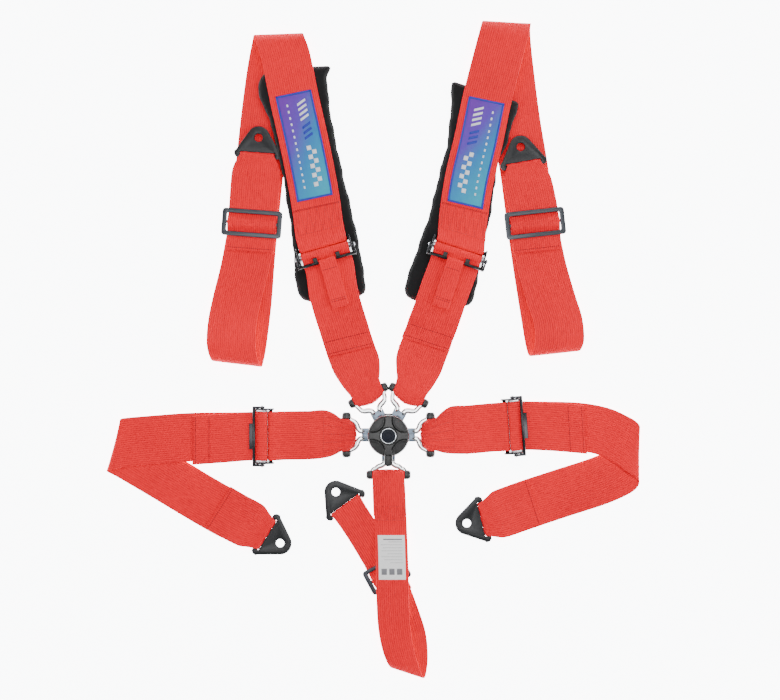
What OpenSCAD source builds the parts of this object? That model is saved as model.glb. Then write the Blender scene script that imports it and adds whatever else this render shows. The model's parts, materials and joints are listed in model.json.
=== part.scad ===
// Five-point racing harness with a cam-lock buckle, laid out flat on a floor.
// Origin: the buckle's axis on the floor. +X right, +Y towards the shoulder anchors, +Z up.

/* [Webbing] */
// Width of the shoulder and lap webbing (3 inch)
webbing_w = 76.2; // [74:0.2:77]
// Width of the crotch webbing (2 inch)
crotch_w = 50.8; // [48:0.2:51]
// Thickness of the webbing
webbing_t = 1.5; // [1.2:0.1:1.6]

/* [Buckle] */
// Diameter of the turning knob
knob_d = 60; // [56:1:62]
// Diameter of the housing
housing_d = 58; // [56:1:60]
// How far the latch ring lifts
latch_lift = 6; // [6:0.1:6.2]

/* [Tongues] */
// Length of the webbing bar, end to end
tongue_bar_len = 64; // [60:1:66]
// Radius of the plastic sleeve on the bar
sleeve_r = 5; // [4.6:0.1:5]
// Thickness of the tongue's blade
blade_t = 3; // [2.6:0.1:3]

/* [Anchor brackets] */
// Diameter of the bolt hole, for a 7/16 inch bolt
bolt_hole_d = 13; // [11.5:0.1:13.5]
// Distance from the webbing bar to the bolt hole
bracket_reach = 27.5; // [26:0.5:30]
// Width of the bracket across its lugs
bracket_w = 73; // [70:1:76]
// Thickness of the bracket plate
bracket_t = 3; // [2.5:0.5:3]

/* [Shoulder pads] */
// Thickness of the pad
pad_t = 9.8; // [8:0.2:9.8]

/* [Hidden] */
$fn = 48;
gap = 0.3;
wide = webbing_w / 2;
narrow = crotch_w / 2;
half_bracket_strap = 26.5;
half_tongue_strap = 25;
bar_z = 8;
tongue_r = [68, 68, 64, 64, 62];
tongue_a = [117, 63, 180, 0, 270];
SL = 0; SR = 1; LL = 2; LR = 3; CR = 4;
wrap_r = sleeve_r + gap + webbing_t / 2;
bracket_bar_r = 2.5;
bracket_bar_z = 6.5;
bracket_wrap_r = bracket_bar_r + gap + webbing_t / 2;
knurl_r = 4;
knurl_wrap_r = knurl_r + gap + webbing_t / 2;
fixed_r = 3;
fixed_wrap_r = fixed_r + gap + webbing_t / 2;
fixed_back = 11;
lever_out = 15;
lever_rise = 13.2;
knurl_rise = knurl_wrap_r + 3.3;
fixed_rise = fixed_wrap_r + 1.15;
knurl_slide = 1.5;
pad_z = 2.2;
adj_z = pad_z + pad_t + gap;
lap_z = 0.3;
cover_z = 22.5;
knob_z = 25;
knob_h = 12;
spindle_r = 4;
pin_ring_r = 25;
pin_r = 2.5;
pin_bite = 1.8;
blade_z = bar_z;
ring_z = 11;
ring_t = 1.5;
strap_red = [0.86, 0.07, 0.08];
metal_black = [0.12, 0.12, 0.13];
metal_grey = [0.33, 0.35, 0.38];
chrome = [0.8, 0.82, 0.84];
plastic_black = [0.08, 0.08, 0.09];

// Tilt adjusters: where the knurled bar is, which way the adjusted strap leaves, how high it lies
adj_at = [[-98.9, 286.2], [108.4, 284.9], [-195, -2], [194.5, 13.5]];
adj_a = [-74, 252, 180, 4];
adj_base = [adj_z, adj_z, lap_z, lap_z];

// Anchor brackets: the middle of the webbing bar, and the way from it to the bolt hole
bracket_at = [[-205.2, 437.6], [211.8, 423.5], [-192.9, -155], [149.3, -131.8], [-66.1, -111.7]];
bracket_a = [86, 100, -32, 194, 126.4];

// Three-bar slides: centre and the way the strap runs through
slide_at = [[-213.8, 331], [229.5, 331], [-2.4, -218]];
slide_a = [85.7, 96.3, 118];

function dir(a) = [cos(a), sin(a)];
function shift(p, a, d) = [p[0] + d * cos(a), p[1] + d * sin(a)];
function row(p, z, side, half) = [p[0], p[1], z, side, half];

// A ribbon's stations are [x, y, z, wx, wy]: its centre and the half width across it
function vec(r) = [r[0], r[1], r[2], r[4] * cos(r[3]), r[4] * sin(r[3])];
function at(a, i) = a[max(0, min(len(a) - 1, i))];
function spline(a, b, c, d, t) = 0.5 * (2 * b + (c - a) * t + (2 * a - 5 * b + 4 * c - d) * t * t
    + (3 * b - a - 3 * c + d) * t * t * t);
function smooth(rows, n = 3) = let (a = [for (r = rows) vec(r)]) concat(
    [for (i = [0 : len(a) - 2]) for (k = [0 : n - 1])
        spline(at(a, i - 1), a[i], a[i + 1], at(a, i + 2), k / n)],
    [a[len(a) - 1]]);

// Half a turn round a bar at p and height z. The strap lies on the side that a points away from.
// up = 1 goes from under the bar to over it, up = -1 the other way.
function wrap(p, z, a, r, side, half, up = 1, n = 8) = [for (k = [0 : n])
    let (t = -90 + 180 * k / n, q = shift(p, a, r * cos(t)))
    vec(row(q, z + up * r * sin(t), side, half))];

function cross_w(t, w) = let (c = cross(t, [w[0], w[1], 0])) c / norm(c);
module ribbon(s, t = webbing_t) {
    n = len(s);
    mid = [for (v = s) [v[0], v[1], v[2]]];
    side = [for (v = s) [v[3], v[4], 0]];
    up = [for (i = [0 : n - 1])
        cross_w(mid[min(n - 1, i + 1)] - mid[max(0, i - 1)], side[i]) * t / 2];
    pts = [for (i = [0 : n - 1]) for (p = [mid[i] - side[i] - up[i], mid[i] + side[i] - up[i],
        mid[i] + side[i] + up[i], mid[i] - side[i] + up[i]]) p];
    faces = concat([[0, 1, 2], [0, 2, 3]],
        [for (i = [0 : n - 2]) for (k = [0 : 3]) for (f = [0 : 1]) let (a = 4 * i + k,
            b = 4 * i + (k + 1) % 4) f == 0 ? [a, a + 4, b + 4] : [a, b + 4, b]],
        [[4 * n - 4, 4 * n - 2, 4 * n - 3], [4 * n - 4, 4 * n - 1, 4 * n - 2]]);
    polyhedron(points = pts, faces = faces, convexity = 12);
}

// The strap's way over the middle bar of a slide, low = first layer, high = second
thread_at = [-14.5, -9, -4, 0, 4, 9, 14.5];
low_z = [3.0, 6.4, 9.85, 10.0, 9.85, 6.4, 3.0];
high_z = [5.0, 8.7, 12.15, 12.4, 12.15, 8.7, 5.0];
function thread(s, side, half, z, back = false) = [for (k = [0 : 6])
    row(shift(slide_at[s], slide_a[s], (back ? -1 : 1) * thread_at[k]), z[k], side, half)];

// ---------- routes of the webbing ----------
function tongue_bar(i) = shift([0, 0], tongue_a[i], tongue_r[i]);
function turn_tongue(i, side) =
    wrap(tongue_bar(i), bar_z, tongue_a[i] + 180, wrap_r, side, half_tongue_strap);
function turn_bracket(i, side) =
    wrap(bracket_at[i], bracket_bar_z, bracket_a[i], bracket_wrap_r, side, half_bracket_strap);
function knurl_z(i) = adj_base[i] + knurl_rise;
function adj_point(i, u) = shift(adj_at[i], adj_a[i], u);

chest_l = concat(
    smooth([[-57, 127, 1.2, 19, 38], [-49, 106, 1.3, 22, 34], [-40, 80, 1.9, 26, 27]]),
    turn_tongue(SL, 27),
    smooth([[-37, 72.5, 13.2, 26.5, 25.6], [-43, 89, 8.6, 25, 30], [-50, 108, 4.8, 22, 35],
        [-57, 127, 3.5, 18, wide], [-64, 148, 3.3, 16, wide], [-70, 168, 6.5, 15, wide],
        [-78, 194, 13.4, 14, wide], [-86, 224, 15.4, 14, wide],
        row(adj_point(SL, 30), 15.6, 15, wide), row(adj_point(SL, 14), adj_z + 3.3, 16, wide),
        row(adj_point(SL, 4), adj_z + 3.3, 16, wide)]),
    wrap(adj_at[SL], knurl_z(SL), adj_a[SL] + 180, knurl_wrap_r, 16, wide),
    smooth([row(adj_point(SL, 4), adj_z + 13.2, 16, wide), row(adj_point(SL, 14), adj_z + 7.4, 16, wide),
        row(adj_point(SL, 30), 18.4, 15, wide), [-86, 224, 17.6, 14, wide],
        [-78, 194, 15.8, 14, wide], [-70, 168, 9.3, 14, wide], [-64, 148, 6.1, 14, wide],
        [-58, 130, 5.8, 13.7, wide]]));

chest_r = concat(
    smooth([[52, 128, 1.2, -20, 38], [46, 106, 1.3, -23, 34], [38, 80, 1.9, -26, 27]]),
    turn_tongue(SR, -27),
    smooth([[36, 72.5, 13.2, -26.5, 25.6], [41, 89, 8.6, -25, 30], [47, 108, 4.8, -23, 35],
        [53, 127, 3.5, -20, wide], [61, 148, 3.3, -19, wide], [67, 168, 6.5, -18, wide],
        [77, 194, 13.4, -18, wide], [87, 224, 15.4, -18, wide],
        row(adj_point(SR, 30), 15.6, -18, wide), row(adj_point(SR, 14), adj_z + 3.3, -18, wide),
        row(adj_point(SR, 4), adj_z + 3.3, -18, wide)]),
    wrap(adj_at[SR], knurl_z(SR), adj_a[SR] + 180, knurl_wrap_r, -18, wide),
    smooth([row(adj_point(SR, 4), adj_z + 13.2, -18, wide),
        row(adj_point(SR, 14), adj_z + 7.4, -18, wide), row(adj_point(SR, 30), 18.4, -18, wide),
        [87, 224, 17.6, -18, wide], [77, 194, 15.8, -18, wide], [68, 168, 9.3, -18, wide],
        [60, 149, 6.1, -18, wide], [57, 141, 5.9, -18, wide]]));

function turn_fixed(i, side, up = 1) = wrap(adj_point(i, -fixed_back), adj_base[i] + fixed_rise,
    adj_a[i], fixed_wrap_r, side, wide, up);
function fixed_point(i, u) = adj_point(i, -fixed_back - u);

long_l = concat(
    smooth([[-110.2, 340, 13.2, 13, wide], [-108.5, 327, 13.3, 14, wide],
        row(fixed_point(SL, 5), 13.4, 16, wide)]),
    turn_fixed(SL, 16),
    smooth([row(fixed_point(SL, 4), 20.6, 16, wide), row(fixed_point(SL, 18), 15.8, 15, wide),
        [-109, 328, 15.3, 13.5, wide], [-111, 345, 14.7, 13, wide], [-113, 359, 13.2, 12, wide],
        [-120, 400, 13.2, 12, wide],
        [-132.7, 462, 13.2, 12, wide], [-146.8, 525, 13.2, 12, wide], [-159.4, 588, 14, 10, wide],
        [-168, 615, 15, 6, wide], [-172.4, 626.5, 8, 2, wide], [-175.5, 616, 1.4, -2, wide],
        [-180.5, 590, 0.8, -6, wide], [-186, 556, 0.8, -8, wide], [-194, 494, 0.8, -8, wide],
        [-204, 400, 0.8, -6, wide], [-215, 290, 0.8, -6, wide], [-221, 211, 0.8, -7, wide],
        [-229, 145, 0.9, -8, wide], [-233.5, 120, 4, -8, wide], [-236, 111.5, 12, -7, wide],
        [-240, 118, 20, -6, wide], [-244.5, 140, 22, -4, wide], [-243.5, 176, 15, 0, wide],
        [-237, 212, 9, -3, wide], [-225, 262, 4.6, -5, wide], [-218, 300, 3.0, -4.3, wide]]),
    smooth(thread(0, -4.3, wide, low_z)),
    smooth([[-211.5, 360, 3.0, -4.3, wide], [-209, 395, 3.0, -4, 37.5], [-206.6, 418, 2.95, -4, 31.5]]),
    turn_bracket(SL, -4),
    smooth([[-206.6, 418, 8.4, -4, 31.5], [-209, 395, 5.6, -4, 37.5], [-211.5, 360, 5.0, -4.3, wide]]),
    smooth(thread(0, -4.3, wide, high_z, true)),
    smooth([[-216, 306, 5.4, -4.3, wide], [-218.5, 287, 6.6, -4.3, wide]]));

long_r = concat(
    smooth([[116.4, 334, 13.2, -15.5, wide], [115.3, 322, 13.3, -16.5, wide],
        row(fixed_point(SR, 5), 13.4, -18, wide)]),
    turn_fixed(SR, -18),
    smooth([row(fixed_point(SR, 4), 20.6, -18, wide), [114.2, 312, 15.8, -17, wide],
        [115.4, 326, 15.3, -16, wide], [117, 341, 14.6, -14.5, wide], [118.6, 353, 13.2, -13.5, wide],
        [126.5, 400, 13.2, -13, wide],
        [141, 462, 13.2, -12, wide], [154, 525, 13.2, -12, wide], [170, 588, 13.8, -13, wide],
        [180, 626, 15, -9, wide], [185, 645, 8, -3.4, wide], [184.5, 634, 1.4, 2, wide],
        [186, 610, 0.8, 5, wide], [190, 572, 0.8, 7, wide], [200, 494, 0.8, 8, wide],
        [213, 415, 0.8, 9, wide], [224, 331, 0.8, 9, wide], [235, 255, 0.8, 10, wide],
        [247, 180, 0.9, 10, wide], [252.5, 147, 2.2, 9, wide], [257, 129.5, 9, 7, wide],
        [261.5, 130, 18, 5, wide], [266, 148, 22.5, 3, wide], [264, 180, 16, 5, wide],
        [254, 214, 9.5, 9, wide], [241, 262, 4.8, 8, wide], [233, 300, 3.0, 6.3, wide]]),
    smooth(thread(1, 6.3, wide, low_z)),
    smooth([[226, 360, 3.0, 7, wide], [220, 387, 3.0, 8.5, 37], [215.1, 405, 2.95, 10, 31]]),
    turn_bracket(SR, 10),
    smooth([[215.1, 405, 8.4, 10, 31], [220, 387, 5.6, 8.5, 37], [226, 360, 5.0, 7, wide]]),
    smooth(thread(1, 6.3, wide, high_z, true)),
    smooth([[232, 306, 5.4, 6.3, wide], [234, 287, 6.6, 6.3, wide]]));

short_l = concat(
    smooth([[-122, -1, 1.2, 90, wide], [-100, 0, 1.3, 90, 34], [-80, 0, 1.8, 90, 27]]),
    turn_tongue(LL, 90),
    smooth([[-71, 0, 13.4, 90, 25.5], [-88, 0, 9, 90, 30], [-106, 0, 5, 90, 36],
        [-126, -1, 3.5, 90, wide], [-160, -1.5, 3.5, 90, wide],
        [-173, -2, 6.8, 90, wide], [-180, -2, 8.9, 90, wide]]),
    turn_fixed(LL, 90, -1),
    smooth([[-180, -2, 1.5, 90, wide], [-160, -1.5, 1.2, 90, wide], [-128, -1, 1.2, 90, wide]]));

short_r = concat(
    smooth([[122, 7, 1.2, -86, wide], [100, 5, 1.3, -87, 34], [80, 1.2, 1.8, -89, 26.6]]),
    turn_tongue(LR, -90),
    smooth([[71, 1, 13.4, -90, 25.5], [88, 3, 9, -88, 30], [106, 5.5, 5, -86, 36],
        [126, 8, 3.5, -86, wide], [160, 11, 3.5, -86, wide],
        row(fixed_point(LR, 11), 6.8, -86, wide), row(fixed_point(LR, 4), 8.9, -86, wide)]),
    turn_fixed(LR, -86, -1),
    smooth([row(fixed_point(LR, 4), 1.5, -86, wide), [160, 11, 1.2, -86, wide],
        [128, 8, 1.2, -86, wide]]));

lap_l = concat(
    smooth([[-307, -9, 5.8, 90, wide], [-262, -6, 5.6, 90, wide], [-228, -3, 7, 90, wide],
        [-211, -2, 8.8, 90, wide], [-201, -2, 13.0, 90, wide]]),
    wrap(adj_at[LL], knurl_z(LL), 0, knurl_wrap_r, 90, wide, -1),
    smooth([[-201, -2, 3.6, 90, wide], [-240, -3, 3.4, 90, wide], [-312, -4, 3.3, 92, wide],
        [-380, -9, 3.3, 93, wide], [-412, -12, 4.6, 90, 38.4], [-425, -14.5, 6.2, 82, 39.5],
        [-429.5, -17, 4.2, 74, 40.5], [-424, -23, 1.4, 66, 39.5], [-404, -35, 0.8, 60, 38.3],
        [-350, -67, 0.8, 58, wide], [-290, -103, 0.8, 58, wide], [-245, -128, 1.0, 58, wide],
        [-226, -136.5, 2.2, 58, 36], [-209, -145, 2.95, 58, 30]]),
    turn_bracket(LL, 58),
    smooth([[-209, -145, 9.0, 58, 30], [-226, -136.5, 5.8, 58, 36], [-243, -128, 3.6, 58, wide],
        [-268, -113.5, 2.9, 58, wide]]));

lap_r = concat(
    smooth([[309, 8, 5.8, -87, wide], [262, 12, 5.6, -86, wide], [228, 14, 7, -86, wide],
        row(adj_point(LR, 16), 8.8, -86, wide), row(adj_point(LR, 6), 13.0, -86, wide)]),
    wrap(adj_at[LR], knurl_z(LR), 184, knurl_wrap_r, -86, wide, -1),
    smooth([row(adj_point(LR, 6), 3.6, -86, wide), [240, 14, 3.4, -87, wide],
        [300, 12, 3.3, -90, wide], [340, 4, 3.3, -98, wide], [368, -10, 4.2, -105, 38.5],
        [384, -21, 6.2, -100, 39.6], [392.5, -31, 4.4, -91, 40.5], [386, -42, 1.5, -82, 39.8],
        [368, -56, 0.8, -75, 38.4], [330, -73, 0.8, -72, wide], [270, -92.5, 0.8, -72, wide],
        [205, -114, 1.0, -73, wide], [184, -121, 2.2, -74, 36], [166, -127, 2.95, -76, 30]]),
    turn_bracket(LR, -76),
    smooth([[166, -127, 9.0, -76, 30], [184, -121, 5.8, -74, 36], [202, -115, 3.6, -73, wide],
        [230, -105.5, 2.9, -72, wide]]));

crotch = concat(
    smooth([[2, -128, 1.6, 180, narrow], [1, -105, 1.6, 180, narrow], [0, -80, 1.8, 180, 25.2]]),
    turn_tongue(CR, 180),
    smooth([[0, -69, 13.6, 180, 25.2], [1, -86, 10, 180, narrow], [2, -108, 6, 180, narrow],
        [3, -130, 5.4, 180, narrow], [4, -155, 8, 180, narrow], [5, -180, 13.2, 180, narrow],
        [6, -215, 16, 180, narrow], [6.5, -255, 13.5, 180, narrow], [9, -300, 9.5, 179, narrow],
        [15, -335, 9.5, 176, narrow], [23, -360, 9.5, 169, 26], [29.5, -372.5, 6, 162, 26.8],
        [34, -366, 2.0, 163, 26.6], [36.5, -345, 1.0, 175, 25.6], [33.5, -315, 1.0, 190, narrow],
        [23, -282, 1.0, 201, narrow], [10, -247, 2.4, 206, narrow]]),
    smooth(thread(2, 208, narrow, low_z)),
    smooth([[-16, -192, 3.0, 210, narrow], [-38, -155, 3.0, 213, narrow],
        [-56, -127, 2.95, 216.4, narrow]]),
    turn_bracket(CR, 216.4),
    smooth([[-56, -127, 9.2, 216.4, narrow], [-38, -155, 5.6, 213, narrow],
        [-16, -192, 5.0, 210, narrow]]),
    smooth(thread(2, 208, narrow, high_z, true)),
    smooth([[8, -239, 5.0, 208, narrow], [14, -252, 5.0, 208, narrow]]));

// ---------- buckle ----------
post_a = [31.5, 148.5, 225, 315];
post_at = 24.4;
post_r = 3.4;
skirt_in = 28;
slot_w = 24;
hub_r = 6;
hub_top = 31;
module ring(r1, r2, h) rotate_extrude() translate([r1, 0]) square([r2 - r1, h]);

module buckle_base() color(metal_black) difference() {
    union() {
        cylinder(h = 3, r = housing_d / 2);
        for (a = post_a) rotate(a) translate([post_at, 0, 0]) cylinder(h = cover_z, r = post_r);
        difference() {
            translate([0, 0, 2]) ring(skirt_in, housing_d / 2, ring_z - 2);
            for (a = tongue_a) rotate(a) translate([20, -slot_w / 2, 3]) cube([20, slot_w, 10]);
        }
        cylinder(h = 5, r = 7);
    }
    for (a = post_a) rotate(a) translate([post_at, 0, 8]) cylinder(h = 20, r = 1.6);
    translate([0, 0, 1]) cylinder(h = 10, r = spindle_r);
}

module housing_screws() color(chrome) for (a = post_a) rotate(a) translate([post_at, 0, 0]) {
    translate([0, 0, 10]) cylinder(h = 12.5, r = 1.5);
    translate([0, 0, 22.5]) cylinder(h = 1.7, r = 1.5);
}

module buckle_cover() color(metal_black) difference() {
    union() {
        translate([0, 0, cover_z]) cylinder(h = 1.7, r = housing_d / 2);
        translate([0, 0, ring_z + 0.2]) ring(skirt_in, housing_d / 2, cover_z - ring_z);
        translate([-5, 26, 14]) cube([10, 8, 8]);
    }
    for (a = post_a) rotate(a) translate([post_at, 0, 20]) cylinder(h = 10, r = 1.6);
    translate([0, 0, 20]) cylinder(h = 10, r = 8.4);
}

module spindle() color(chrome) {
    translate([0, 0, 1]) cylinder(h = 30, r = spindle_r);
    translate([0, 0, 31]) cylinder(h = 2, r = 3);
}

module retaining_ring() color(chrome) translate([0, 0, 31.3]) difference() {
    cylinder(h = 1, r = 5.6);
    translate([0, 0, -1]) cylinder(h = 4, r = 3);
    translate([0, -1, -1]) cube([8, 2, 4]);
}

ramp_lo = 4.2;
ramp_in = 8;
ramp_out = 11.5;
peg_z = 5.6;
ramp_steps = 8;
ramp_step = 72 / ramp_steps;
module ramp() for (k = [0 : ramp_steps - 1]) rotate(-66 + k * ramp_step) translate([0, 0, 3.6])
    linear_extrude(ramp_lo - 3.6 + latch_lift * (ramp_steps - 1 - k) / (ramp_steps - 1))
        polygon([ramp_in * dir(-0.2), ramp_out * dir(-0.2), ramp_out * dir(ramp_step),
            ramp_in * dir(ramp_step)]);
module cam_rotor() color(metal_grey) {
    difference() {
        union() {
            translate([0, 0, 5.1]) cylinder(h = hub_top - 5.1, r = hub_r);
            translate([0, 0, 5.1]) cylinder(h = 1, r = 8.3);
        }
        translate([0, 0, 2]) cylinder(h = 40, r = spindle_r + 0.05);
    }
    difference() {
        union() {
            translate([0, 0, 3.4]) cylinder(h = 0.8, r = ramp_out - 0.4);
            for (a = [0 : 90 : 270]) rotate(a) ramp();
        }
        translate([0, 0, 2]) cylinder(h = 3.1, r = 7.4);
    }
}

module latch_ring() color(metal_grey) {
    difference() {
        translate([0, 0, ring_z]) cylinder(h = ring_t, r = 13.5);
        translate([0, 0, ring_z - 1]) cylinder(h = 4, r = 6.3);
    }
    for (i = [SL, SR, LL, LR]) rotate(tongue_a[i]) translate([12, -4, ring_z])
        cube([pin_ring_r - 12, 8, ring_t]);
    for (a = [0 : 90 : 270]) rotate(a) translate([(ramp_in + ramp_out) / 2, 0, peg_z])
        cylinder(h = ring_z + 0.5 - peg_z, r = 1.2);
}
module latch_pins() color(chrome) {
    for (i = [SL, SR, LL, LR]) rotate(tongue_a[i]) translate([pin_ring_r, 0, 0])
        translate([0, 0, blade_z + blade_t / 2 - pin_bite])
            cylinder(h = ring_z - blade_z - blade_t / 2 + pin_bite, r = pin_r);
}

spring_turns = 3;
spring_lo = ring_z + ring_t;
spring_hi = cover_z;
module latch_spring() {
    wire = 0.7;
    r = 10.5;
    pitch_z = spring_hi - spring_lo - 2 * wire;
    color(chrome) for (k = [0 : spring_turns]) translate([0, 0, spring_lo + wire
        + k * pitch_z / spring_turns]) rotate_extrude() translate([r, 0]) circle(r = wire);
    color(chrome) for (k = [0 : spring_turns - 1]) rotate(k * 120) translate([r, 0, spring_lo + wire
        + k * pitch_z / spring_turns]) cylinder(h = pitch_z / spring_turns, r = wire);
}

return_r = 8.6;
return_wire = 0.55;
return_pitch = 1.3;
module torsion_spring() color(chrome) {
    for (k = [0 : 2]) translate([0, 0, knob_z + 0.9 + k * return_pitch])
        rotate_extrude() translate([return_r, 0]) circle(r = return_wire);
    for (k = [0 : 1]) rotate(k * 120) translate([return_r, 0, knob_z + 0.9 + k * return_pitch])
        cylinder(h = return_pitch, r = return_wire);
}

module crotch_rivet() color(chrome) rotate(270) translate([pin_ring_r - 2, 0, 3])
    cylinder(h = 10, r = 2.5);

pad_r = 21;
pad_centre = 38.6;
module knob() color(plastic_black) {
    difference() {
        translate([0, 0, knob_z]) rotate_extrude() polygon(concat([[0, 0], [knob_d / 2 - 1, 0],
            [knob_d / 2, 1]], [for (t = [0 : 15 : 90]) [knob_d / 2 - 4 + 4 * cos(t),
            knob_h - 4 + 4 * sin(t)]], [[0, knob_h]]));
        translate([0, 0, knob_z - 1]) cylinder(h = 5.5, r = 10);
        translate([0, 0, knob_z + knob_h - 1.5]) cylinder(h = 3, r = 12.4);
        for (a = [45 : 90 : 315]) rotate(a) translate([pad_centre, 0, knob_z + knob_h - 5])
            cylinder(h = 8, r = pad_r);
        translate([0, 0, 24]) cylinder(h = 20, r = hub_r);
    }
    for (a = [45 : 90 : 315]) rotate(a) intersection() {
        translate([0, 0, knob_z + 0.5]) cylinder(h = knob_h - 3, r = knob_d / 2 - 0.6);
        translate([pad_centre, 0, knob_z + 0.5]) cylinder(h = knob_h - 3.4, r = pad_r - 1);
    }
    translate([-6.5, -43, knob_z + 4]) cube([13, 18, 6]);
    translate([0, -43, knob_z + 4]) cylinder(h = 6, r = 6.5);
}
module knob_cap() color(chrome) {
    translate([0, 0, knob_z + knob_h - 1.5]) cylinder(h = 1.2, r = 12.3);
    translate([0, 0, knob_z + knob_h - 0.3]) ring(9.4, 12.3, 1);
}

// ---------- tongues ----------
blade_half = 10.5;
arm_w = 6.5;
function arc_pts(c, r, a0, a1, n) = [for (k = [0 : n]) c + r * dir(a0 + (a1 - a0) * k / n)];
module tongue_plate(rb) {
    fork = 38;
    lug = tongue_bar_len / 2 - 3;
    linear_extrude(blade_t) difference() {
        union() {
            polygon([[15, -5.5], [15, 5.5], [19, 8], [26, blade_half], [fork, blade_half],
                [fork + 4, blade_half + 1], [fork + 4, -blade_half - 1], [fork, -blade_half],
                [26, -blade_half], [19, -8]]);
            for (s = [-1, 1]) polygon([[fork - 2, s * (blade_half - arm_w)], [fork - 2, s * blade_half],
                [fork + 8, s * (blade_half + 5)], [rb - 14, s * (lug - 2)], [rb - 6, s * (lug + 2)],
                [rb, s * (lug + 3)], [rb + 2, s * (lug - 0.5)], [rb - 5, s * (lug - 3.3)],
                [rb - 8.4, s * (lug - 3.5)], [rb - 13, s * (lug - 8)], [fork + 8, s * (blade_half - 3)]]);
        }
        hull() {
            translate([pin_ring_r, 0]) circle(r = pin_r + 0.2);
            translate([pin_ring_r - 4.5, 0]) circle(r = pin_r + 0.2);
        }
    }
}
module tongue(i) color(chrome) rotate(tongue_a[i]) {
    translate([0, 0, blade_z - blade_t / 2]) tongue_plate(tongue_r[i]);
    translate([tongue_r[i], tongue_bar_len / 2 - 2.5, bar_z]) rotate([90, 0, 0])
        cylinder(h = tongue_bar_len - 5, r = 3);
}
sleeve_half = 25.8;
module sleeve(i) color(plastic_black) rotate(tongue_a[i]) translate([tongue_r[i], 0, bar_z])
    rotate([90, 0, 0]) difference() {
        union() {
            cylinder(h = 2 * sleeve_half, r = sleeve_r, center = true);
            for (s = [-1, 1]) translate([0, 0, s * (sleeve_half + 1.5)])
                cylinder(h = 3.2, r = 6, center = true);
        }
        cylinder(h = 80, r = 3, center = true);
        for (s = [-1, 1]) translate([-4.5, 0, s * (sleeve_half + 3.4)])
            cube([14, blade_t + gap, 8], center = true);
    }

// ---------- adjusters ----------
ear_in = 41;
ear_t = 2.5;
arm_in = 44.2;
arm_t = 2.5;
pin_u = 2;
pin_rise = 13.6;
module at_adjuster(i) translate([adj_at[i][0], adj_at[i][1], adj_base[i]]) rotate(adj_a[i])
    children();
module across(r, len) rotate([90, 0, 0]) cylinder(h = len, r = r, center = true);
module adjuster_frame(i) color(chrome) at_adjuster(i) {
    for (s = [-1, 1]) difference() {
        translate([0, s * (ear_in + ear_t / 2), 0]) rotate([90, 0, 0]) translate([0, 0, -ear_t / 2])
            linear_extrude(ear_t) polygon([[-16, 1], [16, 1], [17, 5], [9, 16], [-2, 17], [-16, 9]]);
        translate([knurl_slide / 2, s * ear_in, knurl_rise])
            cube([knurl_slide + 6.4, 12, 6.4], center = true);
    }
    translate([-fixed_back, 0, fixed_rise]) across(fixed_r, 2 * ear_in + 1);
    translate([4, -ear_in - 1, 0]) cube([11, 2 * ear_in + 2, 2]);
    for (s = [-1, 1]) translate([pin_u, s * (ear_in + 4), pin_rise]) across(1.3, 6);
}
module adjuster_bar(i) color(metal_grey) at_adjuster(i) translate([0, 0, knurl_rise]) {
    across(knurl_r, 2 * ear_in - 1);
    across(3, 2 * ear_in + 2 * ear_t);
}
module adjuster_lever(i, mid) color(metal_black) at_adjuster(i) {
    for (s = [-1, 1]) {
        difference() {
            translate([0, s * (arm_in + arm_t / 2), 0]) rotate([90, 0, 0])
                translate([0, 0, -arm_t / 2]) linear_extrude(arm_t)
                    polygon([[-2, pin_rise - 3.4], [3, pin_rise - 3.8], [lever_out + 1.6, 10.6],
                        [lever_out + 1.6, 15], [3, 18], [-2, 16.8]]);
            translate([pin_u, s * arm_in, pin_rise]) across(1.36, 20);
        }
    }
    translate([lever_out, 0, lever_rise]) across(1.9, 2 * arm_in + 2);
    if (mid) translate([lever_out + 2.8, 0, lever_rise + 0.8]) rotate([0, 25, 0])
        cube([5, 40, 2.4], center = true);
}

tab_w = 27;
tab_len = 74;
tab_in = 2.15;
tab_out = 4.1;
module pull_tab(i) color(strap_red) at_adjuster(i) translate([lever_out, tab_w / 2, lever_rise])
    rotate([90, 0, 0]) difference() {
        union() {
            cylinder(h = tab_w, r = tab_out);
            linear_extrude(tab_w) polygon([[0.5, tab_out - 0.4], [4, tab_out - 0.6], [16, 2.4],
                [tab_len, 1.4], [tab_len, -1.4], [16, -0.4], [3, 1.2], [2.6, 2]]);
        }
        translate([0, 0, -1]) cylinder(h = tab_w + 2, r = tab_in);
    }

// ---------- slides and brackets ----------
slide_z = 6.3;
module slide(s, w, l, rim = 7) color(metal_grey) translate([slide_at[s][0], slide_at[s][1], slide_z])
    rotate(slide_a[s] - 90) {
        linear_extrude(3) difference() {
            hull() for (x = [-1, 1], y = [-1, 1])
                translate([x * (w / 2 - 4), y * (l / 2 - 4)]) circle(r = 4);
            square([w - 15, l - 2 * rim], center = true);
        }
        translate([-w / 2 + 6, -2.4, 0]) cube([w - 12, 4.8, 2.5]);
    }

lug_in = 27.6;
module bracket(i) color(metal_black) translate([bracket_at[i][0], bracket_at[i][1], bracket_bar_z])
    rotate(bracket_a[i]) {
        translate([0, 0, -bracket_t / 2]) difference() {
            linear_extrude(bracket_t) difference() {
                union() {
                    translate([bracket_reach, 0]) circle(r = 18);
                    polygon([[bracket_reach + 10, 15], [6, bracket_w / 2], [0, bracket_w / 2],
                        [-2.8, bracket_w / 2 - 3], [-2.8, lug_in], [-2.8, -lug_in],
                        [-2.8, -bracket_w / 2 + 3], [0, -bracket_w / 2], [6, -bracket_w / 2],
                        [bracket_reach + 10, -15]]);
                }
                translate([-10, -lug_in]) square([15.6, 2 * lug_in]);
            }
            translate([bracket_reach, 0, -1]) cylinder(h = 10, d = bolt_hole_d);
        }
        across(bracket_bar_r, 2 * lug_in + 6);
    }

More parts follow.
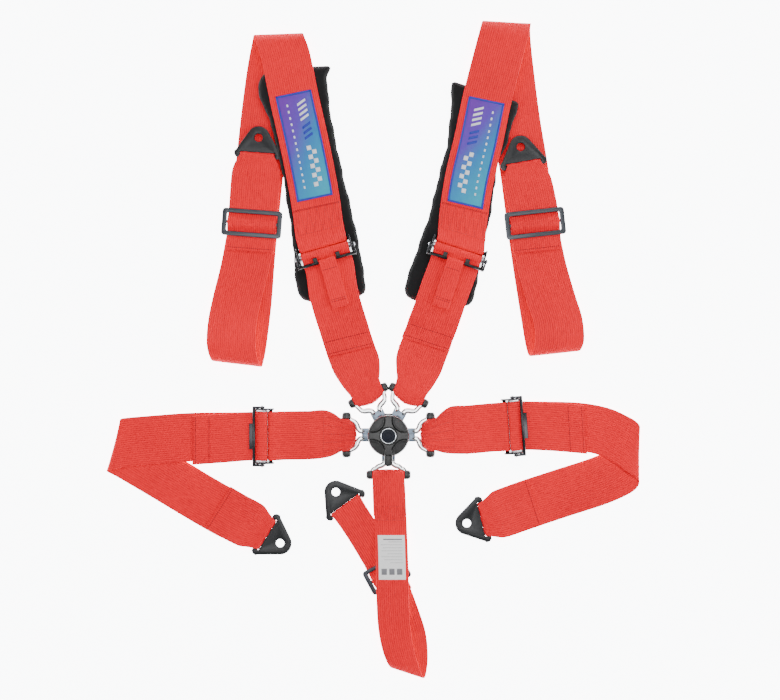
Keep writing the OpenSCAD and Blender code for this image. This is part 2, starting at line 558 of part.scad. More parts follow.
// ---------- pads ----------
// The two long edges of each pad, from the buckle end to the anchor end
pad_edge_l = [[[-134, 208], [-143, 235], [-149, 307], [-157, 360], [-162, 412], [-163.5, 452],
    [-176, 500], [-186, 540], [-184, 572]],
    [[-36, 218], [-38, 240], [-46, 290], [-60, 355], [-71, 400], [-85, 465], [-93, 510], [-98, 552],
    [-93, 582]]];
pad_edge_r = [[[26, 214], [27, 232], [36, 261], [48, 295], [66, 347], [80, 405], [93, 455], [99, 516],
    [100, 552]],
    [[128, 200], [134, 222], [146, 289], [157, 338], [165, 390], [169, 424], [182, 452], [191, 481],
    [199, 519]]];
function flip(a) = [for (i = [len(a) - 1 : -1 : 0]) a[i]];
module pad(edges) color(plastic_black) translate([0, 0, pad_z]) linear_extrude(pad_t)
    polygon(concat(edges[0], flip(edges[1])));
patch_w = 57;
patch_len = 168;
patch_z = 14.3;
module patch(c, a) color([0.25, 0.55, 0.68]) translate([c[0], c[1], patch_z]) rotate(a)
    translate([-patch_len / 2, -patch_w / 2, 0]) cube([patch_len, patch_w, 0.8]);

label_at = [4.6, -191, 17.2];
label_w = 42;
label_len = 69;
module label() color("white") translate(label_at)
    translate([-label_w / 2, -label_len / 2, 0]) cube([label_w, label_len, 0.4]);

buckle_base();
buckle_cover();
housing_screws();
spindle();
retaining_ring();
crotch_rivet();
cam_rotor();
knob();
knob_cap();
torsion_spring();
latch_ring();
latch_pins();
latch_spring();
tongue(SL);  // tongue_shoulder_l
tongue(SR);  // tongue_shoulder_r
tongue(LL);  // tongue_lap_l
tongue(LR);  // tongue_lap_r
tongue(CR);  // tongue_crotch
sleeve(SL);  // sleeve_shoulder_l
sleeve(SR);  // sleeve_shoulder_r
sleeve(LL);  // sleeve_lap_l
sleeve(LR);  // sleeve_lap_r
sleeve(CR);  // sleeve_crotch
color(strap_red) ribbon(chest_l);  // chest_strap_l
color(strap_red) ribbon(chest_r);  // chest_strap_r
color(strap_red) ribbon(long_l);  // shoulder_strap_l
color(strap_red) ribbon(long_r);  // shoulder_strap_r
pad(pad_edge_l);  // shoulder_pad_l
pad(pad_edge_r);  // shoulder_pad_r
patch([-130, 451], 102.7);  // pad_patch_l
patch([137.5, 444], 77);  // pad_patch_r
adjuster_frame(SL);  // shoulder_frame_l
adjuster_frame(SR);  // shoulder_frame_r
adjuster_bar(SL);  // shoulder_bar_l
adjuster_bar(SR);  // shoulder_bar_r
adjuster_lever(SL, false);  // shoulder_lever_l
adjuster_lever(SR, false);  // shoulder_lever_r
pull_tab(SL);  // pull_tab_l
pull_tab(SR);  // pull_tab_r
slide(0, 94, 43);  // shoulder_slide_l
slide(1, 94, 43);  // shoulder_slide_r
bracket(SL);  // shoulder_bracket_l
bracket(SR);  // shoulder_bracket_r
color(strap_red) ribbon(short_l);  // lap_short_strap_l
color(strap_red) ribbon(short_r);  // lap_short_strap_r
color(strap_red) ribbon(lap_l);  // lap_strap_l
color(strap_red) ribbon(lap_r);  // lap_strap_r
adjuster_frame(LL);  // lap_frame_l
adjuster_frame(LR);  // lap_frame_r
adjuster_bar(LL);  // lap_bar_l
adjuster_bar(LR);  // lap_bar_r
adjuster_lever(LL, true);  // lap_lever_l
adjuster_lever(LR, true);  // lap_lever_r
bracket(LL);  // lap_bracket_l
bracket(LR);  // lap_bracket_r
color(strap_red) ribbon(crotch);  // crotch_strap
label();  // crotch_label
slide(2, 68, 41, 6);  // crotch_slide
bracket(CR);  // crotch_bracket
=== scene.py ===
"""Five-point racing harness laid flat on a pale floor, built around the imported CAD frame."""
import json
import math

import bmesh
import bpy
import numpy as np
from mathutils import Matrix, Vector


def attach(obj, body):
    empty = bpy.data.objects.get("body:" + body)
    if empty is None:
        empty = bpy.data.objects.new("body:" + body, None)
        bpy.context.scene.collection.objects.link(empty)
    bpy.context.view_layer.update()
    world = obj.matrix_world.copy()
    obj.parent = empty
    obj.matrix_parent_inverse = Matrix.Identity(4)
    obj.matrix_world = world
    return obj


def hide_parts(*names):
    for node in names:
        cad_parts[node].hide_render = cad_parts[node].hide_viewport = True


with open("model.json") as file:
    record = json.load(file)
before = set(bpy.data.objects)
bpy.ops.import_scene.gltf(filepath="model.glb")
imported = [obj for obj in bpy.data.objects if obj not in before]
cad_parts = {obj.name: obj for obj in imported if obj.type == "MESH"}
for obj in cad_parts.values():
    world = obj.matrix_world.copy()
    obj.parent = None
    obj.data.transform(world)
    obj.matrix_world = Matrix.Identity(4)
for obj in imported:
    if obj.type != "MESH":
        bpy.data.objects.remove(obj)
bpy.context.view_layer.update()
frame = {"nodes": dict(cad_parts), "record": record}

MM = 0.001
WIDE = 38.1
NARROW = 25.4
WEB_T = 1.45
BELTS = ("shoulder_l", "shoulder_r", "lap_l", "lap_r", "crotch")


# ---------------------------------------------------------------- materials
class Nodes:
    """A small helper that builds one procedural material."""

    def __init__(self, name, color, rough=0.5, metal=0.0, **sockets):
        self.mat = bpy.data.materials.new(name)
        self.mat.use_nodes = True
        self.tree = self.mat.node_tree
        self.bsdf = self.tree.nodes["Principled BSDF"]
        self.bsdf.inputs["Base Color"].default_value = (*color, 1)
        self.bsdf.inputs["Roughness"].default_value = rough
        self.bsdf.inputs["Metallic"].default_value = metal
        for key, value in sockets.items():
            self.bsdf.inputs[key.replace("_", " ")].default_value = value

    def add(self, kind, **values):
        node = self.tree.nodes.new(kind)
        for key, value in values.items():
            setattr(node, key, value)
        return node

    def link(self, a, b):
        self.tree.links.new(a, b)

    def coords(self):
        return self.add("ShaderNodeTexCoord").outputs["Object"]

    def math(self, op, a, b=None):
        node = self.add("ShaderNodeMath", operation=op)
        for socket, value in zip(node.inputs, (a, b)):
            if value is None:
                continue
            if isinstance(value, (int, float)):
                socket.default_value = value
            else:
                self.link(value, socket)
        return node.outputs[0]

    def noise(self, scale, detail=2.0, vector=None):
        node = self.add("ShaderNodeTexNoise")
        node.inputs["Scale"].default_value = scale
        node.inputs["Detail"].default_value = detail
        self.link(vector or self.coords(), node.inputs["Vector"])
        return node.outputs["Fac"]

    def ramp(self, fac, stops):
        node = self.add("ShaderNodeValToRGB")
        ends = node.color_ramp.elements
        while len(ends) < len(stops):
            ends.new(0.5)
        for end, (at, color) in zip(ends, stops):
            end.position = at
            end.color = (*color, 1)
        self.link(fac, node.inputs["Fac"])
        return node.outputs["Color"]

    def color(self, socket):
        self.link(socket, self.bsdf.inputs["Base Color"])

    def rough(self, fac, low, high):
        node = self.add("ShaderNodeMapRange")
        node.inputs["To Min"].default_value = low
        node.inputs["To Max"].default_value = high
        self.link(fac, node.inputs["Value"])
        self.link(node.outputs[0], self.bsdf.inputs["Roughness"])

    def bump(self, height, distance, strength=1.0):
        node = self.add("ShaderNodeBump")
        node.inputs["Distance"].default_value = distance
        node.inputs["Strength"].default_value = strength
        self.link(height, node.inputs["Height"])
        self.link(node.outputs[0], self.bsdf.inputs["Normal"])


def webbing(name, color, rib=3.3, pick=2.4, depth=0.0008, shade=0.42):
    """Ribbed webbing. Its colour is painted darker in the grooves of the weave (painted shade) and
    lighter on the raised threads (painted highlight), mixed with random streaks and mottling. The UV map
    is in metres: U across the strap, V along it.
    """
    m = Nodes(name, color, 0.62, Sheen_Weight=0.05, Sheen_Roughness=0.4,
              Specular_IOR_Level=0.2, Sheen_Tint=(1.0, 0.3, 0.25, 1))
    flat = m.add("ShaderNodeUVMap", uv_map="UVMap").outputs[0]
    split = m.add("ShaderNodeSeparateXYZ")
    m.link(flat, split.inputs[0])
    across, along = split.outputs[0], split.outputs[1]
    groove = m.math("ABSOLUTE", m.math("SINE", m.math("MULTIPLY", across, math.pi / (rib * MM))))
    zigzag = m.math("PINGPONG", m.math("MULTIPLY", across, 1 / (rib * MM)), 1.0)
    slant = m.math("ADD", m.math("MULTIPLY", along, 1 / (pick * MM)), zigzag)
    thread = m.math("ABSOLUTE", m.math("SINE", m.math("MULTIPLY", slant, math.pi)))
    height = m.math("ADD", m.math("MULTIPLY", thread, 0.45), m.math("MULTIPLY", groove, 0.55))
    m.bump(height, depth, 0.9)
    stretch = m.add("ShaderNodeMapping")
    stretch.inputs["Scale"].default_value = (1.0, 0.22, 1.0)
    m.link(flat, stretch.inputs["Vector"])
    streak = m.noise(420.0, vector=stretch.outputs[0])
    cloud = m.noise(11.0, 3.0)
    # The weave's relief sets painted shade in the grooves and a painted highlight on the raised threads;
    # streak and cloud add random tone
    fine = m.math("ADD", m.math("MULTIPLY", height, 0.40), m.math("MULTIPLY", streak, 0.36))
    tone = m.math("ADD", fine, m.math("MULTIPLY", cloud, 0.30))
    # dark is painted shade in the grooves plus random mottling, light is a painted highlight on the
    # threads plus random streaks; shade sets how dark the painted shade is
    dark = tuple(c * shade for c in color)
    light = tuple(min(1.0, c * 1.15 + 0.004) for c in color)
    m.color(m.ramp(tone, [(0.26, dark), (0.58, color), (0.82, light)]))
    m.rough(cloud, 0.55, 0.7)
    return m.mat


def metal(name, color, rough, grain=0.0, scale=900.0, wear=0.06, metallic=1.0):
    """A metal or metallic coating, worn smoother in places, with a fine grain where it has one."""
    m = Nodes(name, color, rough, metallic)
    fine = m.noise(scale)
    broad = m.noise(45.0, 3.0)
    m.rough(broad, max(0.02, rough - wear), rough + wear)
    dark = tuple(c * 0.86 for c in color)
    m.color(m.ramp(broad, [(0.3, dark), (0.7, color)]))
    if grain:
        m.bump(fine, grain)
    return m.mat


def plastic(name, color, rough, grain=0.00006, scale=1500.0, gloss=0.5):
    """A moulded or painted surface with a fine grain."""
    m = Nodes(name, color, rough, Specular_IOR_Level=gloss)
    m.bump(m.noise(scale), grain)
    broad = m.noise(60.0, 3.0)
    m.rough(broad, rough - 0.05, rough + 0.08)
    light = tuple(c * 1.5 + 0.004 for c in color)
    m.color(m.ramp(broad, [(0.35, color), (0.75, light)]))
    return m.mat


def pad_cloth():
    m = Nodes("pad_nylon", (0.005, 0.005, 0.005), 0.8, Sheen_Weight=0.08, Sheen_Roughness=0.5,
              Specular_IOR_Level=0.25)
    weave = m.add("ShaderNodeTexVoronoi", feature="F1")
    weave.inputs["Scale"].default_value = 900.0
    m.link(m.coords(), weave.inputs["Vector"])
    m.bump(weave.outputs["Distance"], 0.0003, 0.8)
    cloud = m.noise(14.0, 4.0)
    m.color(m.ramp(cloud, [(0.3, (0.0016, 0.0016, 0.002)), (0.75, (0.005, 0.005, 0.006))]))
    return m.mat


def patch_cloth():
    """Embroidered field: violet at one end, teal at the other. UV runs 0 to 1 each way."""
    m = Nodes("patch_field", (0.1, 0.4, 0.6), 0.5, Sheen_Weight=0.05)
    split = m.add("ShaderNodeSeparateXYZ")
    m.link(m.add("ShaderNodeUVMap", uv_map="UVMap").outputs[0], split.inputs[0])
    far = m.math("SUBTRACT", 1.0, split.outputs[1])
    mix = m.math("ADD", m.math("MULTIPLY", far, 0.62), m.math("MULTIPLY", split.outputs[0], 0.38))
    rows = m.math("SINE", m.math("MULTIPLY", split.outputs[1], 168 * 2 * math.pi / 0.9))
    threads = m.noise(700.0)
    tone = m.math("ADD", mix, m.math("MULTIPLY", m.math("SUBTRACT", threads, 0.5), 0.16))
    m.color(m.ramp(tone, [(0.10, (0.13, 0.012, 0.36)), (0.34, (0.10, 0.035, 0.44)),
                          (0.56, (0.008, 0.19, 0.48)), (0.90, (0.001, 0.34, 0.50))]))
    m.bump(m.math("ADD", rows, m.math("MULTIPLY", threads, 1.5)), 0.00012, 0.8)
    return m.mat


def thread_cloth(name, color, sheen=0.4):
    """Thread, tape or a woven label."""
    m = Nodes(name, color, 0.5, Sheen_Weight=sheen)
    fibre = m.noise(1800.0)
    m.bump(fibre, 0.0002)
    m.color(m.ramp(fibre, [(0.3, tuple(c * 0.75 for c in color)), (0.7, color)]))
    return m.mat


RED = (0.88, 0.0, 0.011)
MAT = {
    "red": webbing("red_webbing", RED),
    "red_dark": thread_cloth("red_thread", (0.20, 0.0, 0.001), 0.0),
    "pad": pad_cloth(),
    "binding": thread_cloth("pad_binding", (0.004, 0.004, 0.005), 0.0),
    "patch": patch_cloth(),
    "blue": thread_cloth("blue_thread", (0.001, 0.02, 0.40), 0.1),
    "white": thread_cloth("white_thread", (0.82, 0.84, 0.88)),
    "label": thread_cloth("label_cloth", (0.93, 0.93, 0.93)),
    "faint_thread": thread_cloth("faint_thread", (0.70, 0.0, 0.009), 0.0),
    "ink": thread_cloth("label_print", (0.18, 0.18, 0.2)),
    "chrome": metal("chrome_steel", (0.86, 0.87, 0.88), 0.09, 0.00001, 300.0, 0.03),
    "neck": metal("neck_steel", (0.10, 0.125, 0.16), 0.26, 0.00002, 700.0, 0.08),
    "frame": metal("nickel_frame", (0.60, 0.61, 0.63), 0.2),
    "sleeve": plastic("sleeve_plastic", (0.008, 0.009, 0.0095), 0.36),
    "black": plastic("black_coating", (0.002, 0.002, 0.003), 0.34, gloss=0.3),
    "lever": metal("black_nickel", (0.03, 0.03, 0.034), 0.26, 0.00002, metallic=0.7),
    "plate": metal("black_plate", (0.010, 0.011, 0.013), 0.38, 0.00003, 1200.0, 0.07, 0.35),
    "slide": metal("grey_slide", (0.045, 0.052, 0.062), 0.36, 0.00003, 1200.0, 0.07, 0.5),
    "knurl": metal("knurled_steel", (0.33, 0.33, 0.35), 0.3),
    "knob": plastic("knob_plastic", (0.006, 0.006, 0.0065), 0.36),
    "cap": metal("cap_metal", (0.62, 0.66, 0.70), 0.14),
    "cap_blue": plastic("cap_enamel", (0.001, 0.003, 0.009), 0.4, gloss=0.15),
    "housing": metal("housing_alloy", (0.03, 0.03, 0.033), 0.42, metallic=0.6),
    "inner": metal("inner_steel", (0.5, 0.5, 0.52), 0.25),
}
CAD_LOOK = {"red_webbing": "red", "pad_fabric": "pad", "patch_weave": "patch",
            "label_cloth": "label", "chrome_steel": "chrome", "bright_frame": "frame",
            "sleeve_plastic": "sleeve", "black_lever": "lever", "black_plate": "plate",
            "grey_slide": "slide", "knurled_steel": "knurl", "knob_plastic": "knob",
            "cap_metal": "cap", "housing_alloy": "housing", "inner_steel": "inner"}


def slot_of(node):
    return next(s["material_slot"] for s in frame["record"]["subparts"] if s["node"] == node)


for node_name, obj in frame["nodes"].items():
    look = MAT[CAD_LOOK[slot_of(node_name)]]
    obj.data.materials.clear()
    obj.data.materials.append(look)


# ---------------------------------------------------------------- mesh helpers
def circle(r, n):
    return [(r * math.cos(2 * math.pi * j / n), r * math.sin(2 * math.pi * j / n)) for j in range(n)]


def grid_faces(rows, columns, start=0, closed=True):
    """Quads between rows of points, each row a closed ring or an open line."""
    faces = []
    for i in range(rows - 1):
        for j in range(columns if closed else columns - 1):
            a, b = start + i * columns + j, start + i * columns + (j + 1) % columns
            faces.append((a, b, b + columns, a + columns))
    return faces


def facing_up(quads):
    """Quads of rings that grow outwards, turned so that they face up."""
    return [(a, d, c, b) for a, b, c, d in quads]


def outward(obj):
    """Turns every face of a closed mesh outwards."""
    bm = bmesh.new()
    bm.from_mesh(obj.data)
    bmesh.ops.recalc_face_normals(bm, faces=bm.faces[:])
    bm.to_mesh(obj.data)
    bm.free()


def points_of(mesh):
    co = np.empty(len(mesh.vertices) * 3)
    mesh.vertices.foreach_get("co", co)
    return co.reshape(-1, 3)


def new_mesh(name, verts, faces, material, smooth=True, uvs=None):
    mesh = bpy.data.meshes.new(name)
    mesh.from_pydata([tuple(v) for v in verts], [], faces)
    mesh.validate()
    if uvs is not None:
        layer = mesh.uv_layers.new(name="UVMap")
        index = np.empty(len(mesh.loops), dtype=np.int32)
        mesh.loops.foreach_get("vertex_index", index)
        layer.data.foreach_set("uv", np.asarray(uvs, dtype=np.float32)[index].ravel())
    mesh.materials.append(material)
    if smooth:
        mesh.polygons.foreach_set("use_smooth", [True] * len(mesh.polygons))
    obj = bpy.data.objects.new(name, mesh)
    bpy.context.scene.collection.objects.link(obj)
    return obj


def piece(obj, body, *nodes, slot=None):
    """Rides the piece on its body and hides the CAD nodes that it stands for. The slot argument is not
    used.
    """
    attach(obj, body)
    if nodes:
        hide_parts(*nodes)


def bevel(obj, width):
    mod = obj.modifiers.new("bevel", "BEVEL")
    mod.width = width
    mod.segments = 3
    mod.limit_method = "ANGLE"
    mod.angle_limit = math.radians(35)
    mod.harden_normals = False
    graph = bpy.context.evaluated_depsgraph_get()
    mesh = bpy.data.meshes.new_from_object(obj.evaluated_get(graph))
    obj.modifiers.clear()
    obj.data = mesh
    mesh.polygons.foreach_set("use_smooth", [True] * len(mesh.polygons))


def extrude_outline(name, outer, holes, z0, z1, material, place=None, round_w=0.0):
    """A plate from outlines in millimetres, with holes, between two heights. Place is (x, y, angle)."""
    bm = bmesh.new()
    edges = []
    for loop in [outer] + holes:
        vs = [bm.verts.new((x, y, z0)) for x, y in loop]
        edges += [bm.edges.new((vs[i], vs[(i + 1) % len(vs)])) for i in range(len(vs))]
    bmesh.ops.triangle_fill(bm, use_beauty=True, use_dissolve=False, edges=edges)
    bmesh.ops.dissolve_limit(bm, angle_limit=0.01, verts=bm.verts, edges=bm.edges,
                             use_dissolve_boundaries=False)
    top = bmesh.ops.extrude_face_region(bm, geom=bm.faces[:])
    for v in top["geom"]:
        if isinstance(v, bmesh.types.BMVert):
            v.co.z = z1
    bmesh.ops.recalc_face_normals(bm, faces=bm.faces[:])
    mesh = bpy.data.meshes.new(name)
    bm.to_mesh(mesh)
    bm.free()
    mesh.materials.append(material)
    obj = bpy.data.objects.new(name, mesh)
    bpy.context.scene.collection.objects.link(obj)
    co = points_of(mesh)
    if place:
        x, y, angle = place
        c, s = math.cos(math.radians(angle)), math.sin(math.radians(angle))
        co[:, :2] = co[:, :2] @ np.array([[c, s], [-s, c]]) + (x, y)
    mesh.vertices.foreach_set("co", (co * MM).ravel())
    mesh.update()
    if round_w:
        bevel(obj, round_w * MM)
    return obj


def join(name, objects):
    """One object from several that keep their own materials."""
    bpy.ops.object.select_all(action="DESELECT")
    for o in objects:
        o.select_set(True)
    bpy.context.view_layer.objects.active = objects[0]
    bpy.ops.object.join()
    objects[0].name = name
    objects[0].data.name = name
    return objects[0]


def tube_verts(points, radii, sides=12, flat=1.0, cap=True):
    """Vertices and faces of a tube along points, in millimetres, flattened along z by flat."""
    pts = np.asarray(points, float)
    tangents = np.gradient(pts, axis=0)
    tangents /= np.linalg.norm(tangents, axis=1)[:, None]
    verts = []
    for p, t, r in zip(pts, tangents, radii):
        up = np.array([0.0, 0.0, 1.0]) if abs(t[2]) < 0.9 else np.array([1.0, 0.0, 0.0])
        side = np.cross(t, up)
        side /= np.linalg.norm(side)
        up = np.cross(side, t)
        for k in range(sides):
            a = 2 * math.pi * k / sides
            verts.append(p + side * r * math.cos(a) + up * r * flat * math.sin(a))
    faces = grid_faces(len(pts), sides)
    if cap:
        faces.append(tuple(range(sides))[::-1])
        faces.append(tuple(range(len(verts) - sides, len(verts))))
    return verts, faces


def tube(name, points, radii, material, sides=12, flat=1.0):
    verts, faces = tube_verts(points, radii, sides, flat)
    return new_mesh(name, np.array(verts) * MM, faces, material)


def turned(point, angle):
    c, s = math.cos(math.radians(angle)), math.sin(math.radians(angle))
    return np.array([point[0] * c - point[1] * s, point[0] * s + point[1] * c])


def catmull(points, n):
    """A smooth curve through points, n steps to each."""
    pts = np.asarray(points, float)
    ext = np.vstack([pts[0], pts, pts[-1]])
    out = []
    for i in range(len(pts) - 1):
        a, b, c, d = ext[i:i + 4]
        for k in range(n):
            t = k / n
            out.append(0.5 * (2 * b + (c - a) * t + (2 * a - 5 * b + 4 * c - d) * t * t
                              + (3 * b - a - 3 * c + d) * t ** 3))
    out.append(pts[-1])
    return np.array(out)


# ---------------------------------------------------------------- layout, in millimetres and degrees
# Where each belt's hardware lies, and the radii that the webbing's middle takes round each bar
TONGUE_R = {"shoulder_l": 68, "shoulder_r": 68, "lap_l": 64, "lap_r": 64, "crotch": 62}
TONGUE_A = {"shoulder_l": 117, "shoulder_r": 63, "lap_l": 180, "lap_r": 0, "crotch": 270}
ADJ_AT = {"shoulder_l": (-98.9, 286.2), "shoulder_r": (108.4, 284.9), "lap_l": (-195, -2),
          "lap_r": (194.5, 13.5)}
ADJ_A = {"shoulder_l": -74, "shoulder_r": 252, "lap_l": 180, "lap_r": 4}
ADJ_Z = {"shoulder_l": 12.3, "shoulder_r": 12.3, "lap_l": 0.3, "lap_r": 0.3}
BRACKET_AT = {"shoulder_l": (-205.2, 437.6), "shoulder_r": (211.8, 423.5),
              "lap_l": (-192.9, -155), "lap_r": (149.3, -131.8), "crotch": (-66.1, -111.7)}
BRACKET_A = {"shoulder_l": 86, "shoulder_r": 100, "lap_l": -32, "lap_r": 194, "crotch": 126.4}
SLIDE_AT = {"shoulder_l": (-213.8, 331), "shoulder_r": (229.5, 331), "crotch": (-2.4, -218)}
SLIDE_A = {"shoulder_l": 85.7, "shoulder_r": 96.3, "crotch": 118}
BAR_Z = 8.0
TONGUE_WRAP = 6.05
BRACKET_Z = 6.5
BRACKET_WRAP = 3.55
KNURL_WRAP = 5.05
FIXED_WRAP = 4.05
KNURL_RISE = 8.35
FIXED_RISE = 5.2
FIXED_BACK = 11
HALF_TONGUE = 25.0
HALF_BRACKET = 26.5
# Webbing through a slide, under its rims and over its bar: distances along, and heights of its two layers
THREAD_AT = (-14.5, -9, -4, 0, 4, 9, 14.5)
LOW_Z = (3.0, 6.4, 9.85, 10.0, 9.85, 6.4, 3.0)
HIGH_Z = (5.0, 8.7, 12.15, 12.4, 12.15, 8.7, 5.0)
WRAP_STEPS = 14


def shift(p, angle, d):
    return (p[0] + d * math.cos(math.radians(angle)), p[1] + d * math.sin(math.radians(angle)))


def adj(k, u, dz, side, half=WIDE):
    """A station given in an adjuster's own frame: u along it and dz above it."""
    x, y = shift(ADJ_AT[k], ADJ_A[k], u)
    return [x, y, ADJ_Z[k] + dz, side, half]


def vec(row, full=WIDE):
    """A station (x, y, z, direction across, half width), where the last may be left out."""
    x, y, z, side, half = (*row, full)[:5]
    a = math.radians(side)
    return np.array([x, y, z, half * math.cos(a), half * math.sin(a)], float)


def smooth(rows, full=WIDE, n=6):
    return catmull([vec(r, full) for r in rows], n)


def wrap(p, z, angle, r, side, half, up=1):
    """Half a turn round a bar at p, its outside facing angle, from below to above unless up is -1."""
    out = []
    for k in range(WRAP_STEPS + 1):
        t = math.radians(-90 + 180 * k / WRAP_STEPS)
        x, y = shift(p, angle, r * math.cos(t))
        out.append(vec([x, y, z + up * r * math.sin(t), side, half]))
    return np.array(out)


def turn_tongue(k, side):
    bar = shift((0, 0), TONGUE_A[k], TONGUE_R[k])
    return wrap(bar, BAR_Z, TONGUE_A[k] + 180, TONGUE_WRAP, side, HALF_TONGUE)


def turn_bracket(k, side):
    return wrap(BRACKET_AT[k], BRACKET_Z, BRACKET_A[k], BRACKET_WRAP, side, HALF_BRACKET)


def upwards(k):
    """The webbing goes up round the bars of a shoulder adjuster, and down round those of a lap one."""
    return 1 if k.startswith("shoulder") else -1


def turn_knurl(k, side):
    bar_z = ADJ_Z[k] + KNURL_RISE
    return wrap(ADJ_AT[k], bar_z, ADJ_A[k] + 180, KNURL_WRAP, side, WIDE, upwards(k))


def turn_fixed(k, side):
    bar = shift(ADJ_AT[k], ADJ_A[k], -FIXED_BACK)
    return wrap(bar, ADJ_Z[k] + FIXED_RISE, ADJ_A[k], FIXED_WRAP, side, WIDE, upwards(k))


def thread(k, back=False):
    """Webbing through a slide, over its bar. On the way back it lies on the layer that is there."""
    sign, heights = (-1, HIGH_Z) if back else (1, LOW_Z)
    side, half = (SLIDE_A[k] + 90, NARROW) if k == "crotch" else (SLIDE_A[k] - 90, WIDE)
    rows = [[*shift(SLIDE_AT[k], SLIDE_A[k], sign * d), z, side, half]
            for d, z in zip(THREAD_AT, heights)]
    return smooth(rows, n=5)


